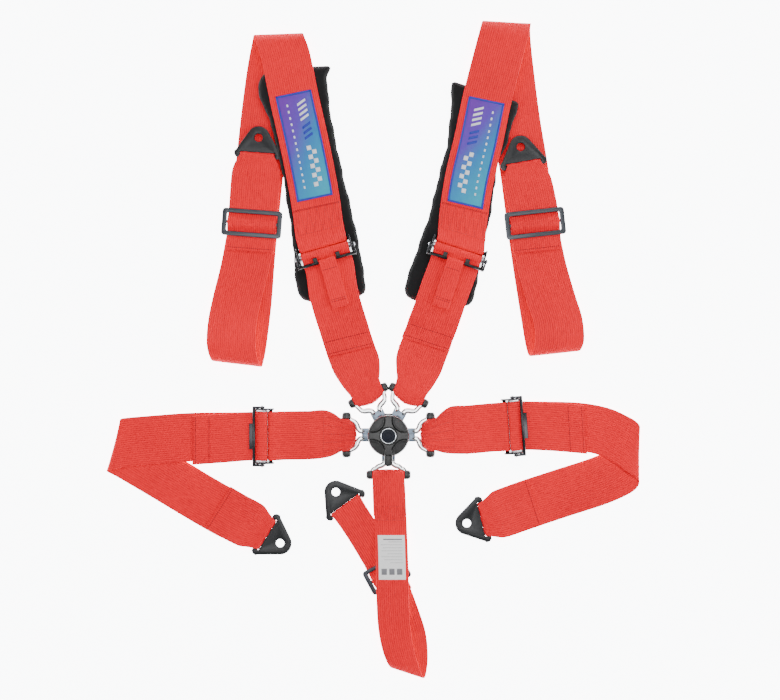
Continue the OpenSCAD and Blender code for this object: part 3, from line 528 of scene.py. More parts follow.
# Each strap from end to end. A station is x, y, z, its direction across, and its half width
# where the webbing is gathered or spread
ROUTES = {
    "chest_l": [
        smooth([[-57, 127, 1.2, 19, 38], [-49, 106, 1.3, 22, 34], [-40, 80, 1.9, 26, 27]]),
        turn_tongue("shoulder_l", 27),
        smooth([[-37, 72.5, 13.2, 26.5, 25.6], [-42, 88, 8.6, 25.5, 32], [-49.5, 108, 4.8, 21, 37.4],
                [-57, 127, 3.5, 18], [-64, 148, 3.3, 16], [-70, 168, 6.5, 15], [-78, 194, 13.4, 14],
                [-86, 224, 15.4, 14], adj("shoulder_l", 30, 3.3, 15), adj("shoulder_l", 14, 3.3, 16),
                adj("shoulder_l", 4, 3.3, 16)]),
        turn_knurl("shoulder_l", 16),
        smooth([adj("shoulder_l", 4, 13.2, 16), adj("shoulder_l", 14, 7.4, 16),
                adj("shoulder_l", 30, 6.1, 15), [-86, 224, 17.6, 14], [-78, 194, 15.8, 14],
                [-70, 168, 9.3, 14], [-64, 148, 6.1, 14], [-58, 130, 5.8, 13.7]])],
    "chest_r": [
        smooth([[52, 128, 1.2, -20, 38], [46, 106, 1.3, -23, 34], [38, 80, 1.9, -26, 27]]),
        turn_tongue("shoulder_r", -27),
        smooth([[36, 72.5, 13.2, -26.5, 25.6], [40.5, 88, 8.6, -25.5, 31.5],
                [46.5, 108, 4.8, -22, 37.2], [53, 127, 3.5, -20], [61, 148, 3.3, -19],
                [67, 168, 6.5, -18], [77, 194, 13.4, -18], [87, 224, 15.4, -18],
                adj("shoulder_r", 30, 3.3, -18), adj("shoulder_r", 14, 3.3, -18),
                adj("shoulder_r", 4, 3.3, -18)]),
        turn_knurl("shoulder_r", -18),
        smooth([adj("shoulder_r", 4, 13.2, -18), adj("shoulder_r", 14, 7.4, -18),
                adj("shoulder_r", 30, 6.1, -18), [87, 224, 17.6, -18], [77, 194, 15.8, -18],
                [68, 168, 9.3, -18], [60, 149, 6.1, -18], [57, 141, 5.9, -18]])],
    "long_l": [
        smooth([[-110.2, 340, 13.2, 13], [-108.5, 327, 13.3, 14],
                adj("shoulder_l", -FIXED_BACK - 5, 1.1, 16)]),
        turn_fixed("shoulder_l", 16),
        smooth([adj("shoulder_l", -FIXED_BACK - 4, 8.3, 16),
                adj("shoulder_l", -FIXED_BACK - 18, 3.5, 15), [-109, 328, 15.3, 13.5],
                [-111, 345, 14.7, 13], [-113, 359, 13.2, 12], [-120, 400, 13.2, 12],
                [-132.7, 462, 13.2, 12], [-146.8, 525, 13.2, 12], [-159.4, 588, 14, 10],
                [-168, 615, 15, 6], [-172.4, 626.5, 8, 2], [-175.5, 616, 1.4, -2],
                [-180.5, 590, 0.8, -6], [-186, 556, 0.8, -8], [-194, 494, 0.8, -8],
                [-204, 400, 0.8, -6], [-215, 290, 0.8, -6], [-221, 211, 0.8, -7], [-229, 145, 0.9, -8],
                [-233.5, 120, 4, -8], [-236, 111.5, 12, -7], [-240, 118, 20, -6], [-244.5, 140, 22, -4],
                [-243.5, 176, 15, 0], [-237, 212, 9, -3], [-225, 262, 4.6, -5],
                [-218, 300, 3.0, -4.3]]),
        thread("shoulder_l"),
        smooth([[-211.5, 360, 3.0, -4.3], [-209, 395, 3.0, -4, 37.5], [-206.6, 418, 2.95, -4, 31.5]]),
        turn_bracket("shoulder_l", -4),
        smooth([[-206.2, 424, 8.9, -4, 34], [-207, 412, 7.9, -4, 37.6], [-209, 395, 5.6, -4],
                [-211.5, 360, 5.0, -4.3]]),
        thread("shoulder_l", back=True),
        smooth([[-216, 306, 5.4, -4.3], [-218.5, 287, 6.6, -4.3]])],
    "long_r": [
        smooth([[116.4, 334, 13.2, -15.5], [115.3, 322, 13.3, -16.5],
                adj("shoulder_r", -FIXED_BACK - 5, 1.1, -18)]),
        turn_fixed("shoulder_r", -18),
        smooth([adj("shoulder_r", -FIXED_BACK - 4, 8.3, -18), [114.2, 312, 15.8, -17],
                [115.4, 326, 15.3, -16], [117, 341, 14.6, -14.5], [118.6, 353, 13.2, -13.5],
                [126.5, 400, 13.2, -13], [141, 462, 13.2, -12], [154, 525, 13.2, -12],
                [170, 588, 13.8, -13], [180, 626, 15, -9], [185, 645, 8, -3.4], [184.5, 634, 1.4, 2],
                [186, 610, 0.8, 5], [190, 572, 0.8, 7], [200, 494, 0.8, 8], [213, 415, 0.8, 9],
                [224, 331, 0.8, 9], [235, 255, 0.8, 10], [247, 180, 0.9, 10], [252.5, 147, 2.2, 9],
                [257, 129.5, 9, 7], [261.5, 130, 18, 5], [266, 148, 22.5, 3], [264, 180, 16, 5],
                [254, 214, 9.5, 9], [241, 262, 4.8, 8], [233, 300, 3.0, 6.3]]),
        thread("shoulder_r"),
        smooth([[226, 360, 3.0, 7], [220, 387, 3.0, 8.5, 37], [215.1, 405, 2.95, 10, 31]]),
        turn_bracket("shoulder_r", 10),
        smooth([[214.2, 410, 8.9, 10, 34], [216.4, 399, 7.9, 9.6, 37.6], [220, 387, 5.6, 8.5],
                [226, 360, 5.0, 7]]),
        thread("shoulder_r", back=True),
        smooth([[232, 306, 5.4, 6.3], [234, 287, 6.6, 6.3]])],
    "short_l": [
        smooth([[-122, -1, 1.2, 90], [-100, 0, 1.3, 90, 34], [-80, 0, 1.8, 90, 27]]),
        turn_tongue("lap_l", 90),
        smooth([[-71, 0, 13.4, 90, 25.5], [-86, 1, 9, 90, 33.6], [-102, 1, 5, 90, 37.8],
                [-126, -1, 3.5, 90], [-160, -1.5, 3.5, 90], [-173, -2, 6.8, 90], [-180, -2, 8.9, 90]]),
        turn_fixed("lap_l", 90),
        smooth([[-180, -2, 1.5, 90], [-160, -1.5, 1.2, 90], [-128, -1, 1.2, 90]])],
    "short_r": [
        smooth([[122, 7, 1.2, -86], [100, 5, 1.3, -87, 34], [80, 1.2, 1.8, -89, 26.6]]),
        turn_tongue("lap_r", -90),
        smooth([[71, 1, 13.4, -90, 25.5], [86, 4.6, 9, -88, 33.2], [102, 7.4, 5, -86, 37.6],
                [126, 8, 3.5, -86], [160, 11, 3.5, -86], adj("lap_r", -FIXED_BACK - 11, 6.5, -86),
                adj("lap_r", -FIXED_BACK - 4, 8.6, -86)]),
        turn_fixed("lap_r", -86),
        smooth([adj("lap_r", -FIXED_BACK - 4, 1.2, -86), [160, 11, 1.2, -86], [128, 8, 1.2, -86]])],
    "lap_l": [
        smooth([[-307, -9, 5.8, 90], [-262, -6, 5.6, 90], [-228, -3, 7, 90], [-211, -2, 8.8, 90],
                [-201, -2, 13.0, 90]]),
        turn_knurl("lap_l", 90),
        smooth([[-201, -2, 3.6, 90], [-240, -3, 3.4, 90], [-312, -4, 3.3, 92], [-380, -9, 3.3, 93],
                [-412, -12, 4.6, 90, 38.4], [-425, -14.5, 6.2, 82, 39.5], [-429.5, -17, 4.2, 74, 40.5],
                [-424, -23, 1.4, 66, 39.5], [-404, -35, 0.8, 60, 38.3], [-350, -67, 0.8, 58],
                [-290, -103, 0.8, 58], [-245, -128, 1.0, 58], [-226, -136.5, 2.2, 58, 36],
                [-209, -145, 2.95, 58, 30]]),
        turn_bracket("lap_l", 58),
        smooth([[-206, -147, 9.2, 58, 33], [-214, -142.5, 8.2, 58, 37], [-226, -136.5, 5.8, 58],
                [-243, -128, 3.6, 58], [-268, -113.5, 2.9, 58]])],
    "lap_r": [
        smooth([[309, 8, 5.8, -87], [262, 12, 5.6, -86], [228, 14, 7, -86], adj("lap_r", 16, 8.5, -86),
                adj("lap_r", 6, 12.7, -86)]),
        turn_knurl("lap_r", -86),
        smooth([adj("lap_r", 6, 3.3, -86), [240, 14, 3.4, -87], [300, 12, 3.3, -90], [340, 4, 3.3, -98],
                [368, -10, 4.2, -105, 38.5], [384, -21, 6.2, -100, 39.6], [392.5, -31, 4.4, -91, 40.5],
                [386, -42, 1.5, -82, 39.8], [368, -56, 0.8, -75, 38.4], [330, -73, 0.8, -72],
                [270, -92.5, 0.8, -72], [205, -114, 1.0, -73], [184, -121, 2.2, -74, 36],
                [166, -127, 2.95, -76, 30]]),
        turn_bracket("lap_r", -76),
        smooth([[162.5, -128, 9.2, -76, 33], [171, -125, 8.2, -75.5, 37], [184, -121, 5.8, -74],
                [202, -115, 3.6, -73], [230, -105.5, 2.9, -72]])],
    "crotch": [
        smooth([[2, -128, 1.6, 180], [1, -105, 1.6, 180], [0, -80, 1.8, 180, 25.2]], NARROW),
        turn_tongue("crotch", 180),
        smooth([[0, -69, 13.6, 180, 25.2], [1, -86, 10, 180], [2, -108, 6, 180], [3, -130, 5.4, 180],
                [4, -155, 8, 180], [5, -180, 13.2, 180], [6, -215, 16, 180], [6.5, -255, 13.5, 180],
                [9, -300, 9.5, 179], [15, -335, 9.5, 176], [23, -360, 9.5, 169, 26],
                [29.5, -372.5, 6, 162, 26.8], [34, -366, 2.0, 163, 26.6], [36.5, -345, 1.0, 175, 25.6],
                [33.5, -315, 1.0, 190], [23, -282, 1.0, 201], [10, -247, 2.4, 206]], NARROW),
        thread("crotch"),
        smooth([[-16, -192, 3.0, 210], [-38, -155, 3.0, 213], [-56, -127, 2.95, 216.4]], NARROW),
        turn_bracket("crotch", 216.4),
        smooth([[-56, -127, 9.2, 216.4], [-38, -155, 5.6, 213], [-16, -192, 5.0, 210]], NARROW),
        thread("crotch", back=True),
        smooth([[8, -239, 5.0, 208], [14, -252, 5.0, 208]], NARROW)],
}
# Bow of each tongue's bar, and the share of it that lies towards the buckle
BOW = {"shoulder_l": 9.0, "shoulder_r": 9.0, "lap_l": 11.0, "lap_r": 11.0, "crotch": 2.5}
BOW_SHARE = 0.72


def bow(k, t):
    """How far the bowed tongue bar reaches towards the buckle, t from -1 to 1 along it."""
    return BOW[k] * (BOW_SHARE - t * t)


class Strap:
    """A ribbon of webbing along a route. Its own measures are millimetres."""

    COLUMNS = 20
    SHORTEST_STEP = 0.35
    BOW_REACH = 20.0

    def __init__(self, route, full, tongue=None):
        rows = np.vstack(route)
        keep = [0]
        for i in range(1, len(rows)):
            if np.linalg.norm(rows[i, :3] - rows[keep[-1], :3]) > self.SHORTEST_STEP:
                keep.append(i)
        rows = rows[keep]
        self.full = full
        self.mid = rows[:, :3]
        self.side = np.column_stack([rows[:, 3:], np.zeros(len(rows))])
        steps = np.linalg.norm(np.diff(self.mid, axis=0), axis=1)
        self.s = np.concatenate([[0], np.cumsum(steps)])
        self.length = self.s[-1]
        tangent = np.gradient(self.mid, axis=0)
        normal = np.cross(tangent, self.side)
        self.normal = normal / np.linalg.norm(normal, axis=1)[:, None]
        self.half = np.linalg.norm(self.side, axis=1)
        self.tongue = tongue
        self.pull = np.zeros(len(rows))
        if tongue:
            bar = np.array(shift((0, 0), TONGUE_A[tongue], TONGUE_R[tongue]))
            far = np.linalg.norm(self.mid[:, :2] - bar, axis=1)
            self.pull = np.exp(-(far / self.BOW_REACH) ** 2)
            self.inward = np.array([*turned((-1, 0), TONGUE_A[tongue]), 0])

    def bowed(self, t, i):
        """How far the webbing follows its tongue's bowed bar."""
        if self.pull[i] < 0.01:
            return np.zeros(3)
        return self.inward * bow(self.tongue, t) * self.pull[i]

    def pleat(self, t, i):
        """Height of the folds where the webbing is gathered narrower than it was woven."""
        tight = max(0.0, 1 - self.half[i] / self.full)
        return tight * 5.0 * np.cos(3 * math.pi * t) * (1 - t * t) ** 0.5

    def cup(self, t, i):
        """A slow waviness across and along a free strap."""
        s = self.s[i]
        calm = min(1.0, self.half[i] / self.full)
        return calm * 0.16 * math.sin(s / 31.0) * np.cos(2.2 * t + s / 57.0)

    def point(self, s, t, lift=0.0):
        """A point at length s and t from -1 to 1 across, lift above the upper face."""
        i = int(np.clip(np.searchsorted(self.s, s) - 1, 0, len(self.s) - 2))
        f = np.clip((s - self.s[i]) / (self.s[i + 1] - self.s[i]), 0, 1)
        mid = self.mid[i] * (1 - f) + self.mid[i + 1] * f
        side = self.side[i] * (1 - f) + self.side[i + 1] * f
        n = self.normal[i] * (1 - f) + self.normal[i + 1] * f
        wave = self.wave(t, i)
        up = 1 if n[2] > 0 else -1
        return mid + side * t + self.bowed(t, i) + n * wave + n * up * (WEB_T / 2 + lift)

    def wave(self, t, i):
        """Pleats and waviness together, upwards whichever way the strap lies."""
        up = 1 if self.normal[i][2] > 0 else -1
        return up * (self.pleat(t, i) * 0.35 + self.cup(t, i))

    def find(self, x, y, height=None):
        """The length along the strap where it passes (x, y), on its topmost or a given layer."""
        near = np.hypot(self.mid[:, 0] - x, self.mid[:, 1] - y)
        close = np.where(near < near.min() + 6)[0]
        target = self.mid[close, 2].max() if height is None else height
        level = close[np.abs(self.mid[close, 2] - target) < 2.5]
        return self.s[level[np.argmin(near[level])]]

    def mesh(self, name, material):
        cols = self.COLUMNS
        edge = 0.05
        across = np.concatenate([[-1, -1 + edge * 0.4], np.linspace(-1 + edge, 1 - edge, cols),
                                 [1 - edge * 0.4, 1]])
        thick = np.ones(len(across))
        thick[0] = thick[-1] = 0.25
        thick[1] = thick[-2] = 0.8
        ring = [(t, h) for t, h in zip(across, thick)]
        ring += [(t, -h) for t, h in zip(across[::-1], thick[::-1])]
        verts, uvs = [], []
        for i in range(len(self.mid)):
            for t, h in ring:
                p = self.mid[i] + self.side[i] * t + self.bowed(t, i)
                p = p + self.normal[i] * (self.wave(t, i) + h * WEB_T / 2)
                verts.append(p * MM)
                uvs.append((t * self.full * MM, self.s[i] * MM))
        m = len(ring)
        faces = grid_faces(len(self.mid), m)
        last = (len(self.mid) - 1) * m
        for k in range(m // 2 - 1):
            faces.append((k, k + 1, m - 2 - k, m - 1 - k)[::-1])
            faces.append((last + k, last + k + 1, last + m - 2 - k, last + m - 1 - k))
        obj = new_mesh(name, verts, faces, material, uvs=uvs)
        outward(obj)
        return obj


def cad_node(belt, part):
    """The CAD's name of a belt's part: for shoulder_l, slide gives shoulder_slide_l."""
    group, *side = belt.split("_")
    return "_".join([group, part, *side])


# Each kind of strap: its node in the CAD, its belt, and whether it goes round a tongue's bar
STRAP_KINDS = {"chest": ("chest_strap", "shoulder", True), "long": ("shoulder_strap", "shoulder", False),
               "short": ("lap_short_strap", "lap", True), "lap": ("lap_strap", "lap", False),
               "crotch": ("crotch_strap", "crotch", True)}
STRAPS = {}
for name, route in ROUTES.items():
    kind, *side = name.split("_")
    node, belt, at_tongue = STRAP_KINDS[kind]
    node, belt = ("_".join([part, *side]) for part in (node, belt))
    strap = Strap(route, NARROW if name == "crotch" else WIDE, belt if at_tongue else None)
    STRAPS[name] = strap
    obj = strap.mesh("webbing_" + name, MAT["red"])
    piece(obj, "belt_" + belt, node)


# ---------------------------------------------------------------- anchor brackets and slides
def arc(cx, cy, r, a0, a1, n):
    return [(cx + r * math.cos(math.radians(a0 + (a1 - a0) * k / n)),
             cy + r * math.sin(math.radians(a0 + (a1 - a0) * k / n))) for k in range(n + 1)]


def rounded(points, r, n):
    """Rounds the corners of an outline in millimetres."""
    out = []
    pts = [np.array(p, float) for p in points]
    for i, p in enumerate(pts):
        a, b = pts[i - 1], pts[(i + 1) % len(pts)]
        da, db = a - p, b - p
        la, lb = np.linalg.norm(da), np.linalg.norm(db)
        cut = min(r, la * 0.45, lb * 0.45)
        p0, p1 = p + da / la * cut, p + db / lb * cut
        for k in range(n + 1):
            t = k / n
            out.append(tuple((1 - t) ** 2 * p0 + 2 * t * (1 - t) * p + t * t * p1))
    return out


def rectangle(w, l):
    return [(-w / 2, -l / 2), (w / 2, -l / 2), (w / 2, l / 2), (-w / 2, l / 2)]


BOLT_R = 6.5
BRACKET_T = 3.0
BRACKET_BAR_R = 2.5


def make_bracket(k):
    """A triangular plate with a bolt hole, and a bar for the webbing between its two ears."""
    reach, apex, half, slot_half = 27.5, 18, 36.5, 27.6
    lean = math.degrees(math.acos((half - apex) / math.hypot(reach - 3, half - 4))) - 12
    ear = [(6, half), (-0.5, half), (-4.8, half - 3.5), (-4.8, slot_half), (4.4, slot_half)]
    outer = arc(reach, 0, apex, -lean, lean, 24)
    outer += rounded(ear + [(x, -y) for x, y in ear[::-1]], 1.8, 4)
    hole = arc(reach, 0, BOLT_R, 360, 10, 35)
    x, y = BRACKET_AT[k]
    z = BRACKET_Z
    plate = extrude_outline("bracket_plate_" + k, outer, [hole], z - BRACKET_T / 2, z + BRACKET_T / 2,
                            MAT["plate"], (x, y, BRACKET_A[k]), 0.65)
    ends = [shift((x, y), BRACKET_A[k] + 90, s * (slot_half + 1)) for s in (-1, 1)]
    line = np.linspace([*ends[0], z], [*ends[1], z], 3)
    bar = tube("bracket_bar_" + k, line, [BRACKET_BAR_R] * 3, MAT["plate"], 24)
    piece(join("bracket_" + k, [plate, bar]), "bracket_" + k, cad_node(k, "bracket"))


for k in BELTS:
    make_bracket(k)


SLIDE_LOW, SLIDE_HIGH = 6.3, 9.3


def make_slide(k, w, l, rim):
    """A three-bar slide: a plate with one window and a lower bar across the middle."""
    side = 7.5
    outer = rounded(rectangle(w, l), 6, 8)
    window = rounded(rectangle(w - 2 * side, l - 2 * rim), 3, 6)
    place = (*SLIDE_AT[k], SLIDE_A[k] - 90)
    plate = extrude_outline("slide_plate_" + k, outer, [window[::-1]], SLIDE_LOW, SLIDE_HIGH,
                            MAT["slide"], place, 0.9)
    bar = extrude_outline("slide_bar_" + k, rounded(rectangle(w - 12, 4.8), 0.5, 2), [], SLIDE_LOW,
                          SLIDE_HIGH - 0.5, MAT["slide"], place, 0.6)
    piece(join("slide_" + k, [plate, bar]), "belt_" + k, cad_node(k, "slide"))


make_slide("shoulder_l", 94, 43, 7)
make_slide("shoulder_r", 94, 43, 7)
make_slide("crotch", 68, 41, 6)


# ---------------------------------------------------------------- tongues
# How far each sleeve's D ends stand out past the webbing
D_OUT = {"shoulder_l": 7.4, "shoulder_r": 7.4, "lap_l": 8.8, "lap_r": 8.8, "crotch": 8.2}


def d_end(s, out):
    """A moulded D: flat against the webbing and round outside, as a squashed superellipsoid."""
    verts = []
    rows, columns = 25, 32
    for i in range(rows):
        a = math.pi * i / (rows - 1) - math.pi / 2
        for j in range(columns):
            b = 2 * math.pi * j / columns
            ca, sa, cb, sb = math.cos(a), math.sin(a), math.cos(b), math.sin(b)
            y = math.copysign(abs(sa) ** 0.85, sa)
            y *= out if y * s > 0 else 1.8
            verts.append((7.3 * ca ** 0.42 * math.copysign(abs(cb) ** 0.85, cb), s * 26.6 + y,
                          5.9 * ca ** 0.5 * math.copysign(abs(sb) ** 0.85, sb)))
    return np.array(verts), grid_faces(rows, columns)


def make_tongue(k):
    """A pressed neck with two forged arms, a bowed bar, and a moulded sleeve with D ends."""
    radius, angle = TONGUE_R[k], TONGUE_A[k]
    body = "buckle" if k == "crotch" else "tongue_" + k
    neck = [(15, -5), (15, 5), (19, 8), (26, 10.5), (42.5, 10.5), (43.5, 7.5), (41.5, 0),
            (43.5, -7.5), (42.5, -10.5), (26, -10.5), (19, -8)]
    slot = arc(25, 0, 2.7, 90, -90, 10) + arc(20.5, 0, 2.7, 270, 90, 10)
    parts = [extrude_outline("neck", rounded(neck, 1.2, 3), [slot], BAR_Z - 1.5, BAR_Z + 1.5,
                             MAT["neck"], (0, 0, angle), 0.6)]
    back = BOW[k] * (1 - BOW_SHARE)
    for s in (-1, 1):
        path = [(34, 6.4), (40, 6.0), (44, 6.2), (47.5, 10.5), (49.5, 16), (53, 20.5),
                (radius + back - 9, 23.5), (radius + back - 3, 27.5)]
        way = catmull([(u, s * v, 0) for u, v in path], 7)
        world = [(*turned(p[:2], angle), BAR_Z + 0.3) for p in way]
        n = len(world)
        wide = [1.0 + 3.4 * min(1, i / 9) - 1.2 * max(0, (i - n + 24) / 24) for i in range(n)]
        parts.append(tube("arm", world, wide, MAT["chrome"], 24, 0.5))
    line = [(radius - bow(k, t), 27 * t) for t in np.linspace(-1, 1, 17)]
    world = [(*turned(p, angle), BAR_Z) for p in line]
    parts.append(tube("bar", world, [2.9] * 17, MAT["chrome"], 20))
    piece(join("tongue_steel_" + k, parts), body, "tongue_" + k)
    grip = [tube("sleeve_tube", world, [5.0] * 17, MAT["sleeve"], 28)]
    for s in (-1, 1):
        co, faces = d_end(s, D_OUT[k])
        xy = np.array([turned((radius + back * 0.5 + p[0], p[1]), angle) for p in co])
        verts = np.column_stack([xy, co[:, 2] + BAR_Z]) * MM
        grip.append(new_mesh("d_end", verts, faces, MAT["sleeve"]))
    piece(join("grip_sleeve_" + k, grip), body, "sleeve_" + k)


for k in BELTS:
    make_tongue(k)


# ---------------------------------------------------------------- knob and cap
KNOB_R, KNOB_EDGE, KNOB_TOP, KNOB_FOOT = 32.2, 3.4, 37, 25.0
CAP_R, CAP_SEAT = 12.6, 35.4
SCALLOP_AT, SCALLOP_R = 34.6, 18.2


def knob_height(r, a):
    """Height of the knob's face: four scallops, grooves round them, and a dish for the cap."""
    diag = (a - math.pi / 4) % (math.pi / 2)
    diag = min(diag, math.pi / 2 - diag)
    far = math.hypot(r * math.cos(diag) - SCALLOP_AT, r * math.sin(diag))
    z = KNOB_TOP - 0.0014 * r * r
    inside = min(1.0, max(0.0, (SCALLOP_R - far) / 3.5))
    z -= inside * (0.3 + 0.08 * max(0, r - 17))
    z -= 2.6 * math.exp(-((far - SCALLOP_R - 0.4) / 0.62) ** 2)
    z -= 2.0 * math.exp(-((r - CAP_R - 0.6) / 0.5) ** 2)
    if r < CAP_R:
        z = min(z, CAP_SEAT)
    edge = max(0.0, (r - KNOB_R + KNOB_EDGE) / KNOB_EDGE)
    return z - 5.0 * (1 - math.sqrt(max(0.0, 1 - edge ** 2)))


def make_knob():
    """The turning knob: its face in rings round the middle, a skirt, and a ribbed lever tab."""
    rings, spokes = 100, 300
    verts = [(0, 0, CAP_SEAT - 0.1)]
    for i in range(1, rings + 1):
        r = KNOB_R * i / rings
        verts += [(x, y, knob_height(r, math.atan2(y, x))) for x, y in circle(r, spokes)]
    for drop, out in ((0.6, KNOB_R), (0, KNOB_R - 0.6)):
        verts += [(x, y, KNOB_FOOT + drop) for x, y in circle(out, spokes)]
    verts.append((0, 0, KNOB_FOOT))
    faces = [(0, 1 + j, 1 + (j + 1) % spokes) for j in range(spokes)]
    faces += facing_up(grid_faces(rings + 2, spokes, 1))
    base = 1 + (rings + 1) * spokes
    faces += [(len(verts) - 1, base + (j + 1) % spokes, base + j) for j in range(spokes)]
    dome = new_mesh("knob_dome", np.array(verts) * MM, faces, MAT["knob"])
    tab = [(-6.4, -22), (-6.4, -43), (-3.6, -47), (3.6, -47), (6.4, -43), (6.4, -22)]
    tab = extrude_outline("knob_tab", rounded(tab, 1.5, 4), [], 29, 34.2, MAT["knob"], None, 1.3)
    ribs = []
    for x in (-4.9, 4.9):
        line = catmull([(x, -20, 36.3), (x, -29, 36.2), (x, -37, 35.4), (x, -44, 33.9)], 5)
        ribs.append(tube("knob_rib", line, [1.25] * len(line), MAT["knob"]))
    piece(join("knob_look", [dome, tab] + ribs), "knob", "knob")


make_knob()


def disc(name, r, z, dome, material):
    """A round face with a slight dome, in rings round its middle."""
    rings, spokes = 6, 72
    verts = [(0, 0, z + dome)]
    for i in range(1, rings + 1):
        height = z + dome * (1 - (i / rings) ** 2)
        verts += [(x, y, height) for x, y in circle(r * i / rings, spokes)]
    faces = [(0, 1 + j, 1 + (j + 1) % spokes) for j in range(spokes)]
    faces += facing_up(grid_faces(rings, spokes, 1))
    return new_mesh(name, np.array(verts) * MM, faces, material)


def hoop(name, r, z, tube_r, material):
    line = [(x, y, z) for x, y in circle(r, 96)]
    verts, faces = tube_verts(line + line[:1], [tube_r] * 97, 14, 1.0, False)
    return new_mesh(name, np.array(verts) * MM, faces, material)


cap = [hoop("cap_ring", 11.4, 36.5, 0.85, MAT["cap"]),
       disc("cap_face", 11.0, 36.4, 0.5, MAT["cap_blue"]),
       hoop("cap_line", 5.2, 36.75, 0.35, MAT["cap_blue"])]
piece(join("knob_cap_look", cap), "knob", "knob_cap")


# ---------------------------------------------------------------- tilt adjusters
def side_plate(name, k, outline, r, steps, v0, v1, material, round_w=0.6):
    """A plate with an outline (along, up) in the adjuster, from v0 to v1 across it."""
    obj = extrude_outline(name, rounded(outline, r, steps), [], *sorted((v0, v1)), material, None,
                          round_w)
    co = points_of(obj.data)
    a = math.radians(ADJ_A[k])
    along = np.array([math.cos(a), math.sin(a)])
    side = np.array([math.sin(a), -math.cos(a)])
    out = np.empty_like(co)
    out[:, :2] = np.array(ADJ_AT[k]) * MM + co[:, :1] * along + co[:, 2:3] * side
    out[:, 2] = co[:, 1] + ADJ_Z[k] * MM
    obj.data.vertices.foreach_set("co", out.ravel())
    obj.data.update()
    return obj


def across(name, k, u, z, stations, material, sides):
    """A bar across the adjuster. Stations are (across, radius)."""
    x, y = shift(ADJ_AT[k], ADJ_A[k], u)
    a = math.radians(ADJ_A[k])
    line = [(x - v * math.sin(a), y + v * math.cos(a), ADJ_Z[k] + z) for v, _ in stations]
    return tube(name, line, [r for _, r in stations], material, sides)


EAR = [(-16, 1), (16, 1), (17, 5), (9, 16), (-2, 17), (-16, 9)]
LIP = [(8, 1.2), (17.4, 1.2), (17.4, 5.5), (8, 4)]
ARM = [(-2, 10.2), (3, 9.8), (16.6, 10.8), (17, 15), (3, 18), (-2, 16.8)]
BASE = [(-11, 0), (15, 0), (15, 1.2), (-11, 1.2)]
NUB = [(6, 14.2), (15.5, 10.9), (16.8, 14.8), (6.4, 16.6)]
PRESS = [(15, 12.6), (22.4, 9.8), (22.8, 11.6), (15, 15)]
LEVER_BAR_U, LEVER_BAR_Z = 15, 13.2


def make_adjuster(k):
    """A frame of two ears, a base and a fixed bar, and a lever of two arms and a bar."""
    group, _ = k.split("_")
    frame_parts, lever_parts = [], []
    for s in (-1, 1):
        frame_parts.append(side_plate("ear", k, EAR, 3, 5, s * 41.0, s * 43.5, MAT["lever"]))
        frame_parts.append(side_plate("lip", k, LIP, 1, 3, s * 42.6, s * 46.2, MAT["frame"], 0.7))
        lever_parts.append(side_plate("arm", k, ARM, 2.4, 5, s * 44.0, s * 46.9, MAT["lever"], 0.7))
        rivet = [(s * 42, 2.2), (s * 47.6, 2.2), (s * 48.2, 1.4)]
        frame_parts.append(across("rivet", k, 2, 13.6, rivet, MAT["frame"], 18))
    frame_parts.append(across("fixed_bar", k, -FIXED_BACK, FIXED_RISE, [(-41.5, 3), (41.5, 3)],
                              MAT["frame"], 24))
    frame_parts.append(side_plate("base", k, BASE, 0.4, 2, -42, 42, MAT["frame"], 0))
    if group == "shoulder":
        bar = [(-46, 2.5), (-16, 2.5), (-14.6, 1.8), (14.6, 1.8), (16, 2.5), (46, 2.5)]
        lever_parts.append(across("lever_bar", k, LEVER_BAR_U, LEVER_BAR_Z, bar, MAT["black"], 18))
        for s in (-1, 1):
            lever_parts.append(side_plate("nub", k, NUB, 0.9, 3, s * 14.8, s * 21.6, MAT["black"]))
    else:
        bar = [(-47, 1.4), (-46, 2.3), (46, 2.3), (47, 1.4)]
        lever_parts.append(across("lever_bar", k, LEVER_BAR_U, LEVER_BAR_Z, bar, MAT["lever"], 24))
        lever_parts.append(side_plate("press", k, PRESS, 0.7, 3, -20, 20, MAT["lever"], 0.5))
    piece(join("frame_" + k, frame_parts), "belt_" + k, cad_node(k, "frame"))
    piece(join("lever_" + k, lever_parts), "lever_" + k, cad_node(k, "lever"))


for k in ADJ_AT:
    make_adjuster(k)


# ---------------------------------------------------------------- pull tabs
TAB_HALF, TAB_WRAP = 13.5, 3.05


def make_tab(k):
    """A narrow loop of webbing round the lever's bar, hanging back over the belt."""
    side = 16 if k == "shoulder_l" else -18
    half = TAB_HALF
    below = ((88, 12.6), (60, 12.6), (31, 12.9), (21, 11.6), (17, 10.4))
    above = ((17, 16.2), (22, 15.4), (31, 14.6), (60, 14.2), (87, 14.2), (89.5, 13.4))
    bar = shift(ADJ_AT[k], ADJ_A[k], LEVER_BAR_U)
    route = [smooth([adj(k, u, z, side, half) for u, z in below]),
             wrap(bar, ADJ_Z[k] + LEVER_BAR_Z, ADJ_A[k] + 180, TAB_WRAP, side, half),
             smooth([adj(k, u, z, side, half) for u, z in above])]
    strap = Strap(route, half)
    obj = strap.mesh("tab_webbing_" + k, MAT["red"])
    piece(obj, "tab_" + k, "pull_tab_" + k[-1])
    STRAPS["tab_" + k[-1]] = strap


make_tab("shoulder_l")
make_tab("shoulder_r")


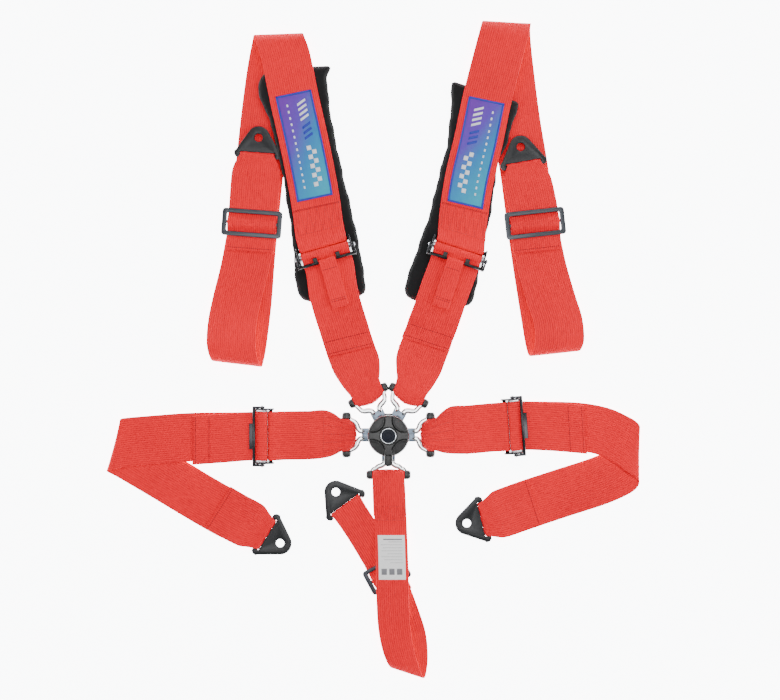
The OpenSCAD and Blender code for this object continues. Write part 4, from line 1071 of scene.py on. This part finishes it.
# ---------------------------------------------------------------- shoulder pads
# The two long edges of each pad, from the buckle end to the anchor end
PAD_EDGE = {
    "l": ([(-134, 208), (-143, 235), (-149, 307), (-157, 360), (-165, 412), (-174, 450),
           (-182, 486), (-196, 518), (-202, 543), (-196, 562), (-180, 572)],
          [(-34, 219), (-38, 240), (-46, 290), (-60, 355), (-71, 400), (-85, 465), (-93, 510),
           (-97, 556), (-91, 576)]),
    "r": ([(26, 214), (27, 232), (36, 261), (48, 295), (66, 347), (80, 405), (93, 455), (99, 516),
           (100, 552)],
          [(128, 200), (134, 222), (146, 289), (157, 338), (165, 390), (169, 424), (182, 452),
           (191, 481), (203, 519)])}
PAD_MID, PAD_RISE = 7.0, 4.9
PAD_LOW_CORNER, PAD_TOP_CORNER = 13, 4
PAD_ROWS, PAD_COLUMNS = 170, 40


def even(points, n):
    """The same curve through points, as n evenly spaced ones."""
    curve = catmull([(*p, 0) for p in points], 24)[:, :2]
    run = np.concatenate([[0], np.cumsum(np.linalg.norm(np.diff(curve, axis=0), axis=1))])
    at = np.linspace(0, run[-1], n)
    return np.column_stack([np.interp(at, run, curve[:, 0]), np.interp(at, run, curve[:, 1])])


def pad_rise(run, t, half, end):
    """How far the cover swells above the pad's middle plane, with puckers beside the piping."""
    inner = min((1 - abs(t)) * half, end)
    swell = math.sqrt(max(0.0, 1 - (1 - min(1, inner / 8)) ** 2))
    pucker = 0.5 * math.sin(run / 5.3 + 2.4 * math.sin(run / 17) + 2.5 * t) * (1 - t * t)
    crease = 0.8 * math.sin(run / 2.6 + 3 * t) * math.exp(-((1 - abs(t)) * half / 7) ** 2)
    return 0.4 + swell * (PAD_RISE * 0.86 + 0.6 * (pucker + crease))


def make_pad(side):
    """One padded sleeve, lofted between its two long edges, with piping round it."""
    left, right = (even(e, PAD_ROWS) for e in PAD_EDGE[side])
    middle = (left + right) / 2
    run = np.concatenate([[0], np.cumsum(np.linalg.norm(np.diff(middle, axis=0), axis=1))])
    verts = []
    for face in (1, -1):
        for i in range(PAD_ROWS):
            end = min(run[i], run[-1] - run[i])
            span = (right[i] - left[i]) / 2
            half = np.linalg.norm(span)
            corner_r = PAD_LOW_CORNER if run[i] < run[-1] / 2 else PAD_TOP_CORNER
            inset = corner_r * (1 - math.sqrt(max(0.0, 1 - max(0.0, 1 - end / corner_r) ** 2)))
            wobble = 0.7 * math.sin(run[i] / 9.0) + 0.4 * math.sin(run[i] / 3.7)
            scale = (half - inset - wobble) / half
            for j in range(PAD_COLUMNS + 1):
                t = math.sin((-1 + 2 * j / PAD_COLUMNS) * math.pi / 2)
                x, y = middle[i] + span * t * scale
                verts.append((x, y, PAD_MID + face * pad_rise(run[i], t, half, end)))
    w = PAD_COLUMNS + 1
    under = PAD_ROWS * w
    faces = grid_faces(PAD_ROWS, w, 0, False) + grid_faces(PAD_ROWS, w, under, False)
    loop = [i * w for i in range(PAD_ROWS)] + [(PAD_ROWS - 1) * w + j for j in range(1, w)]
    loop += [i * w + w - 1 for i in range(PAD_ROWS - 2, -1, -1)] + list(range(w - 2, 0, -1))
    for a, b in zip(loop, loop[1:] + loop[:1]):
        faces.append((a, b, b + under, a + under))
    body = new_mesh("pad_body", np.array(verts) * MM, faces, MAT["pad"])
    seam = [(*verts[i][:2], PAD_MID) for i in loop[::2]]
    seam.append(seam[0])
    pv, pf = tube_verts(seam, [1.7] * len(seam), 10, 1.0, False)
    piping = new_mesh("piping", np.array(pv) * MM, pf, MAT["binding"])
    obj = join("pad_" + side, [body, piping])
    outward(obj)
    piece(obj, "belt_shoulder_" + side, "shoulder_pad_" + side)


make_pad("l")
make_pad("r")


# ---------------------------------------------------------------- things sewn on the webbing
def on_strap(strap, s0):
    """Maps (along, across, lift) in millimetres from length s0 onto the strap's upper face."""
    def place(along, sideways, lift):
        return strap.point(s0 + along, sideways / strap.full, lift) * MM
    return place


def cloth_block(name, place, a0, a1, b0, b1, low, high, material, skew=0.0, na=None, nb=None):
    """A thin block of cloth or thread over a rectangle of the strap, with rounded top edges."""
    na = na or max(2, int(abs(a1 - a0) / 4) + 1)
    nb = nb or max(2, int(abs(b1 - b0) / 4) + 1)
    inset = min(0.35, (a1 - a0) / 4, (b1 - b0) / 4)
    al = np.concatenate([[a0, a0 + inset], np.linspace(a0, a1, na + 1)[1:-1], [a1 - inset, a1]])
    bl = np.concatenate([[b0, b0 + inset], np.linspace(b0, b1, nb + 1)[1:-1], [b1 - inset, b1]])
    verts, uvs = [], []
    for a in al:
        for b in bl:
            rim = a in (a0, a1) or b in (b0, b1)
            verts.append(place(a + skew * (b - b0), b, high * (0.45 if rim else 1.0)))
            uvs.append(((b - b0) / (b1 - b0), (a - a0) / (a1 - a0)))
    w, rows = len(bl), len(al)
    faces = grid_faces(rows, w, 0, False)
    edge = list(range(w)) + [i * w + w - 1 for i in range(1, rows)]
    edge += [(rows - 1) * w + j for j in range(w - 2, -1, -1)] + [i * w for i in range(rows - 2, 0, -1)]
    start = len(verts)
    for e in edge:
        i, j = divmod(e, w)
        verts.append(place(al[i] + skew * (bl[j] - b0), bl[j], low))
        uvs.append(uvs[e])
    m = len(edge)
    for n in range(m):
        faces.append((edge[n], start + n, start + (n + 1) % m, edge[(n + 1) % m]))
    faces.append(tuple(range(start + m - 1, start - 1, -1)))
    obj = new_mesh(name, verts, faces, material, uvs=uvs)
    outward(obj)
    return obj


def make_patch(side):
    """An embroidered patch: a blue rim, and generic checks, slants, bars and dashes."""
    strap = STRAPS["long_" + side]
    centre, flip = ((-130, 451), 1) if side == "l" else ((137.5, 444), -1)
    place = on_strap(strap, strap.find(*centre, 13.2))
    parts = [cloth_block("field", place, -82, 82, -26.5, 26.5, 0.02, 0.9, MAT["patch"],
                         na=60, nb=20)]
    for lo, hi, b0, b1 in ((-84, -80.6, -28.5, 28.5), (80.6, 84, -28.5, 28.5),
                           (-84, 84, -28.5, -25.2), (-84, 84, 25.2, 28.5)):
        parts.append(cloth_block("rim", place, lo, hi, b0, b1, 0.02, 1.5, MAT["blue"],
                                 na=max(2, int((hi - lo) / 3))))

    def mark(name, along, wide, b0, b1, high, color, skew=0.0):
        low_b, high_b = sorted((flip * b0, flip * b1))
        parts.append(cloth_block(name, place, along, along + wide, low_b, high_b, 0.5, high,
                                 MAT[color], skew))

    for i in range(9):
        for j in range(2):
            if (i + j) % 2 == 0:
                mark("check", -66 + i * 7.2, 7.2, 2 + j * 7.2, 9.2 + j * 7.2, 1.25, "white")
    for i in range(3):
        mark("slant", 8 + i * 8.5, 4.6, 2, 16.4, 1.2, "blue", 0.45)
    for i in range(4):
        mark("bar", 38 + i * 8, 4.2, 2, 16.4, 1.25, "white", 0.45)
    for i in range(14):
        mark("dash", -66 + i * 10, 4.4, -14.6, -11.6, 1.15, "white")
    piece(join("patch_" + side, parts), "belt_shoulder_" + side, "pad_patch_" + side)


make_patch("l")
make_patch("r")


def make_label():
    """A sewn label, with plain lines and boxes where print would be."""
    strap = STRAPS["crotch"]
    place = on_strap(strap, strap.find(4.6, -191))
    parts = [cloth_block("label_field", place, -34.5, 34.5, -21, 21, 0.02, 0.45, MAT["label"],
                         na=24, nb=14)]
    lines = [(30, 2.4), (22, 1)] + [(wide, 0.7) for wide in (34, 31, 33, 24, 34, 29, 20)]
    for i, (wide, thick) in enumerate(lines):
        a = -29 + i * 4.6
        parts.append(cloth_block("mark", place, a, a + thick, -17, -17 + wide, 0.3, 0.55,
                                 MAT["ink"]))
    for j in range(3):
        parts.append(cloth_block("mark_box", place, 17, 27, -16 + j * 12, -7 + j * 12, 0.3, 0.55,
                                 MAT["ink"]))
    piece(join("label", parts), "belt_crotch", "crotch_label")


make_label()


# ---------------------------------------------------------------- stitching
def stitch_mesh(name, lines, material):
    """Short threads, 2.9 mm long every 3.4 mm, along lines of (strap, [(s, across), ...])."""
    verts, faces = [], []
    sides, pitch, reach = 6, 3.4, 1.45
    shape = ((-1.0, 0.12), (-0.6, 0.42), (0.6, 0.42), (1.0, 0.12))
    for strap, points in lines:
        for (s0, b0), (s1, b1) in zip(points, points[1:]):
            run = math.hypot(s1 - s0, b1 - b0)
            n = max(1, round(run / pitch))
            for i in range(n):
                f = (i + 0.5) / n
                ds, db = (s1 - s0) / run * reach, (b1 - b0) / run * reach
                sc, bc = s0 + (s1 - s0) * f, b0 + (b1 - b0) * f
                p = strap.point(sc - ds, (bc - db) / strap.full, 0.10)
                q = strap.point(sc + ds, (bc + db) / strap.full, 0.10)
                axis = (q - p) / max(1e-6, np.linalg.norm(q - p))
                up = np.array([0, 0, 1.0])
                side = np.cross(axis, up)
                side /= max(1e-6, np.linalg.norm(side))
                start = len(verts)
                for t, r in shape:
                    c = (p + q) / 2 + (q - p) / 2 * t
                    for m in range(sides):
                        a = 2 * math.pi * m / sides
                        verts.append((c + side * r * math.cos(a) + up * r * math.sin(a)) * MM)
                faces += grid_faces(len(shape), sides, start)
                faces.append(tuple(start + m for m in range(sides))[::-1])
                faces.append(tuple(start + (len(shape) - 1) * sides + m for m in range(sides)))
    return new_mesh(name, verts, faces, material)


def cross_line(strap, s, margin=3.0):
    b = strap.full - margin
    return strap, [(s, -b), (s, b)]


def zigzag_box(strap, s0, s1, teeth=5, margin=4.0):
    b = strap.full - margin
    box = [(strap, [(s0, -b), (s0, b), (s1, b), (s1, -b), (s0, -b)])]
    points = [(s0 + (s1 - s0) * (i % 2), -b + 2 * b * i / (2 * teeth)) for i in range(2 * teeth + 1)]
    return box + [(strap, points)]


def sew(belt, lines, faint):
    """Dark rows of stitching, and zigzags in thread close to the webbing's own red."""
    rows = stitch_mesh("rows", lines, MAT["red_dark"])
    zigzag = stitch_mesh("zigzag", faint, MAT["faint_thread"])
    piece(join("stitches_" + belt, [rows, zigzag]), "belt_" + belt, slot="red_webbing")


def sew_shoulder(side, low, high):
    """Stitching on the long strap between low and high, on both tails and on the pull tab."""
    strap, tail, tab = (STRAPS[kind + side] for kind in ("long_", "chest_", "tab_"))
    low, high = strap.find(*low), strap.find(*high)
    lines = [cross_line(strap, high, 1.0), cross_line(strap, high + 1.6, 1.0)]
    lines += [cross_line(strap, strap.length - 5), cross_line(strap, strap.length - 26)]
    lines += [cross_line(tail, tail.length - 5), cross_line(tail, tail.length - 24)]
    sew("shoulder_" + side, lines, zigzag_box(strap, *sorted((low, high))))
    lines = [cross_line(tab, tab.length - d, 2.0) for d in (11, 14, 62)]
    threads = stitch_mesh("stitches_tab_" + side, lines, MAT["red_dark"])
    piece(threads, "tab_shoulder_" + side, slot="red_webbing")


def sew_lap(side, s):
    """Stitching near the tongue and on both ends of the long lap strap. s is the side's sign."""
    short, lap = STRAPS["short_" + side], STRAPS["lap_" + side]
    faint = zigzag_box(short, *sorted((short.find(s * 103, 0, 5.2), short.find(s * 124, 3, 3.5))))
    lines = [cross_line(lap, s) for s in (5, 26, lap.length - 5)]
    sew("lap_" + side, lines, faint)


sew_shoulder("l", (-107.2, 318), (-112.6, 356))
sew_lap("l", -1)
sew_shoulder("r", (114.6, 315), (118.4, 351))
sew_lap("r", 1)

crotch = STRAPS["crotch"]
faint = zigzag_box(crotch, crotch.find(2, -112, 6), crotch.find(3, -134, 5.5), 4, 3)
sew("crotch", [cross_line(crotch, crotch.length - 5)], faint)


# ---------------------------------------------------------------- floor, light, camera
def floor_paper():
    m = Nodes("floor_paper", (0.93, 0.93, 0.94), 0.7, Emission_Color=(0.96, 0.98, 1.0, 1),
              Emission_Strength=9.0)
    cloud = m.noise(1.3)
    m.color(m.ramp(cloud, [(0.3, (0.92, 0.92, 0.925)), (0.7, (0.945, 0.945, 0.95))]))
    return m.mat


floor = new_mesh("floor", [(-4, -4, 0), (4, -4, 0), (4, 4, 0), (-4, 4, 0)], [(0, 1, 2, 3)],
                 floor_paper(), smooth=False)

# The camera looks straight down on CENTRE and sees FIELD metres from side to side on the floor
CENTRE = (0.0024, 0.1327)
HEIGHT = 2.0
FIELD = 1.225
SENSOR = 36.0
camera_data = bpy.data.cameras.new("camera")
camera_data.sensor_width = SENSOR
camera_data.lens = SENSOR * HEIGHT / FIELD
camera = bpy.data.objects.new("camera", camera_data)
camera.location = (*CENTRE, HEIGHT)
bpy.context.scene.collection.objects.link(camera)
bpy.context.scene.camera = camera


def area_light(name, place, size, power, aim=(0, 0.1, 0)):
    data = bpy.data.lights.new(name, "AREA")
    data.shape = "RECTANGLE"
    data.size, data.size_y = size
    data.energy = power
    light = bpy.data.objects.new(name, data)
    light.location = place
    light.rotation_euler = (Vector(aim) - Vector(place)).to_track_quat("-Z", "Y").to_euler()
    bpy.context.scene.collection.objects.link(light)


area_light("top_light", (0.2, 1.6, 1.7), (1.4, 0.8), 20)
area_light("left_light", (-1.7, 0.0, 1.4), (0.8, 1.4), 16)
area_light("right_light", (1.8, -0.2, 1.4), (0.8, 1.4), 26)
area_light("overhead_light", (0, 0.1, 2.6), (1.1, 1.1), 26)
world = bpy.data.worlds.new("studio")
world.use_nodes = True
world.node_tree.nodes["Background"].inputs["Color"].default_value = (1, 1, 1, 1)
world.node_tree.nodes["Background"].inputs["Strength"].default_value = 0.4
bpy.context.scene.world = world
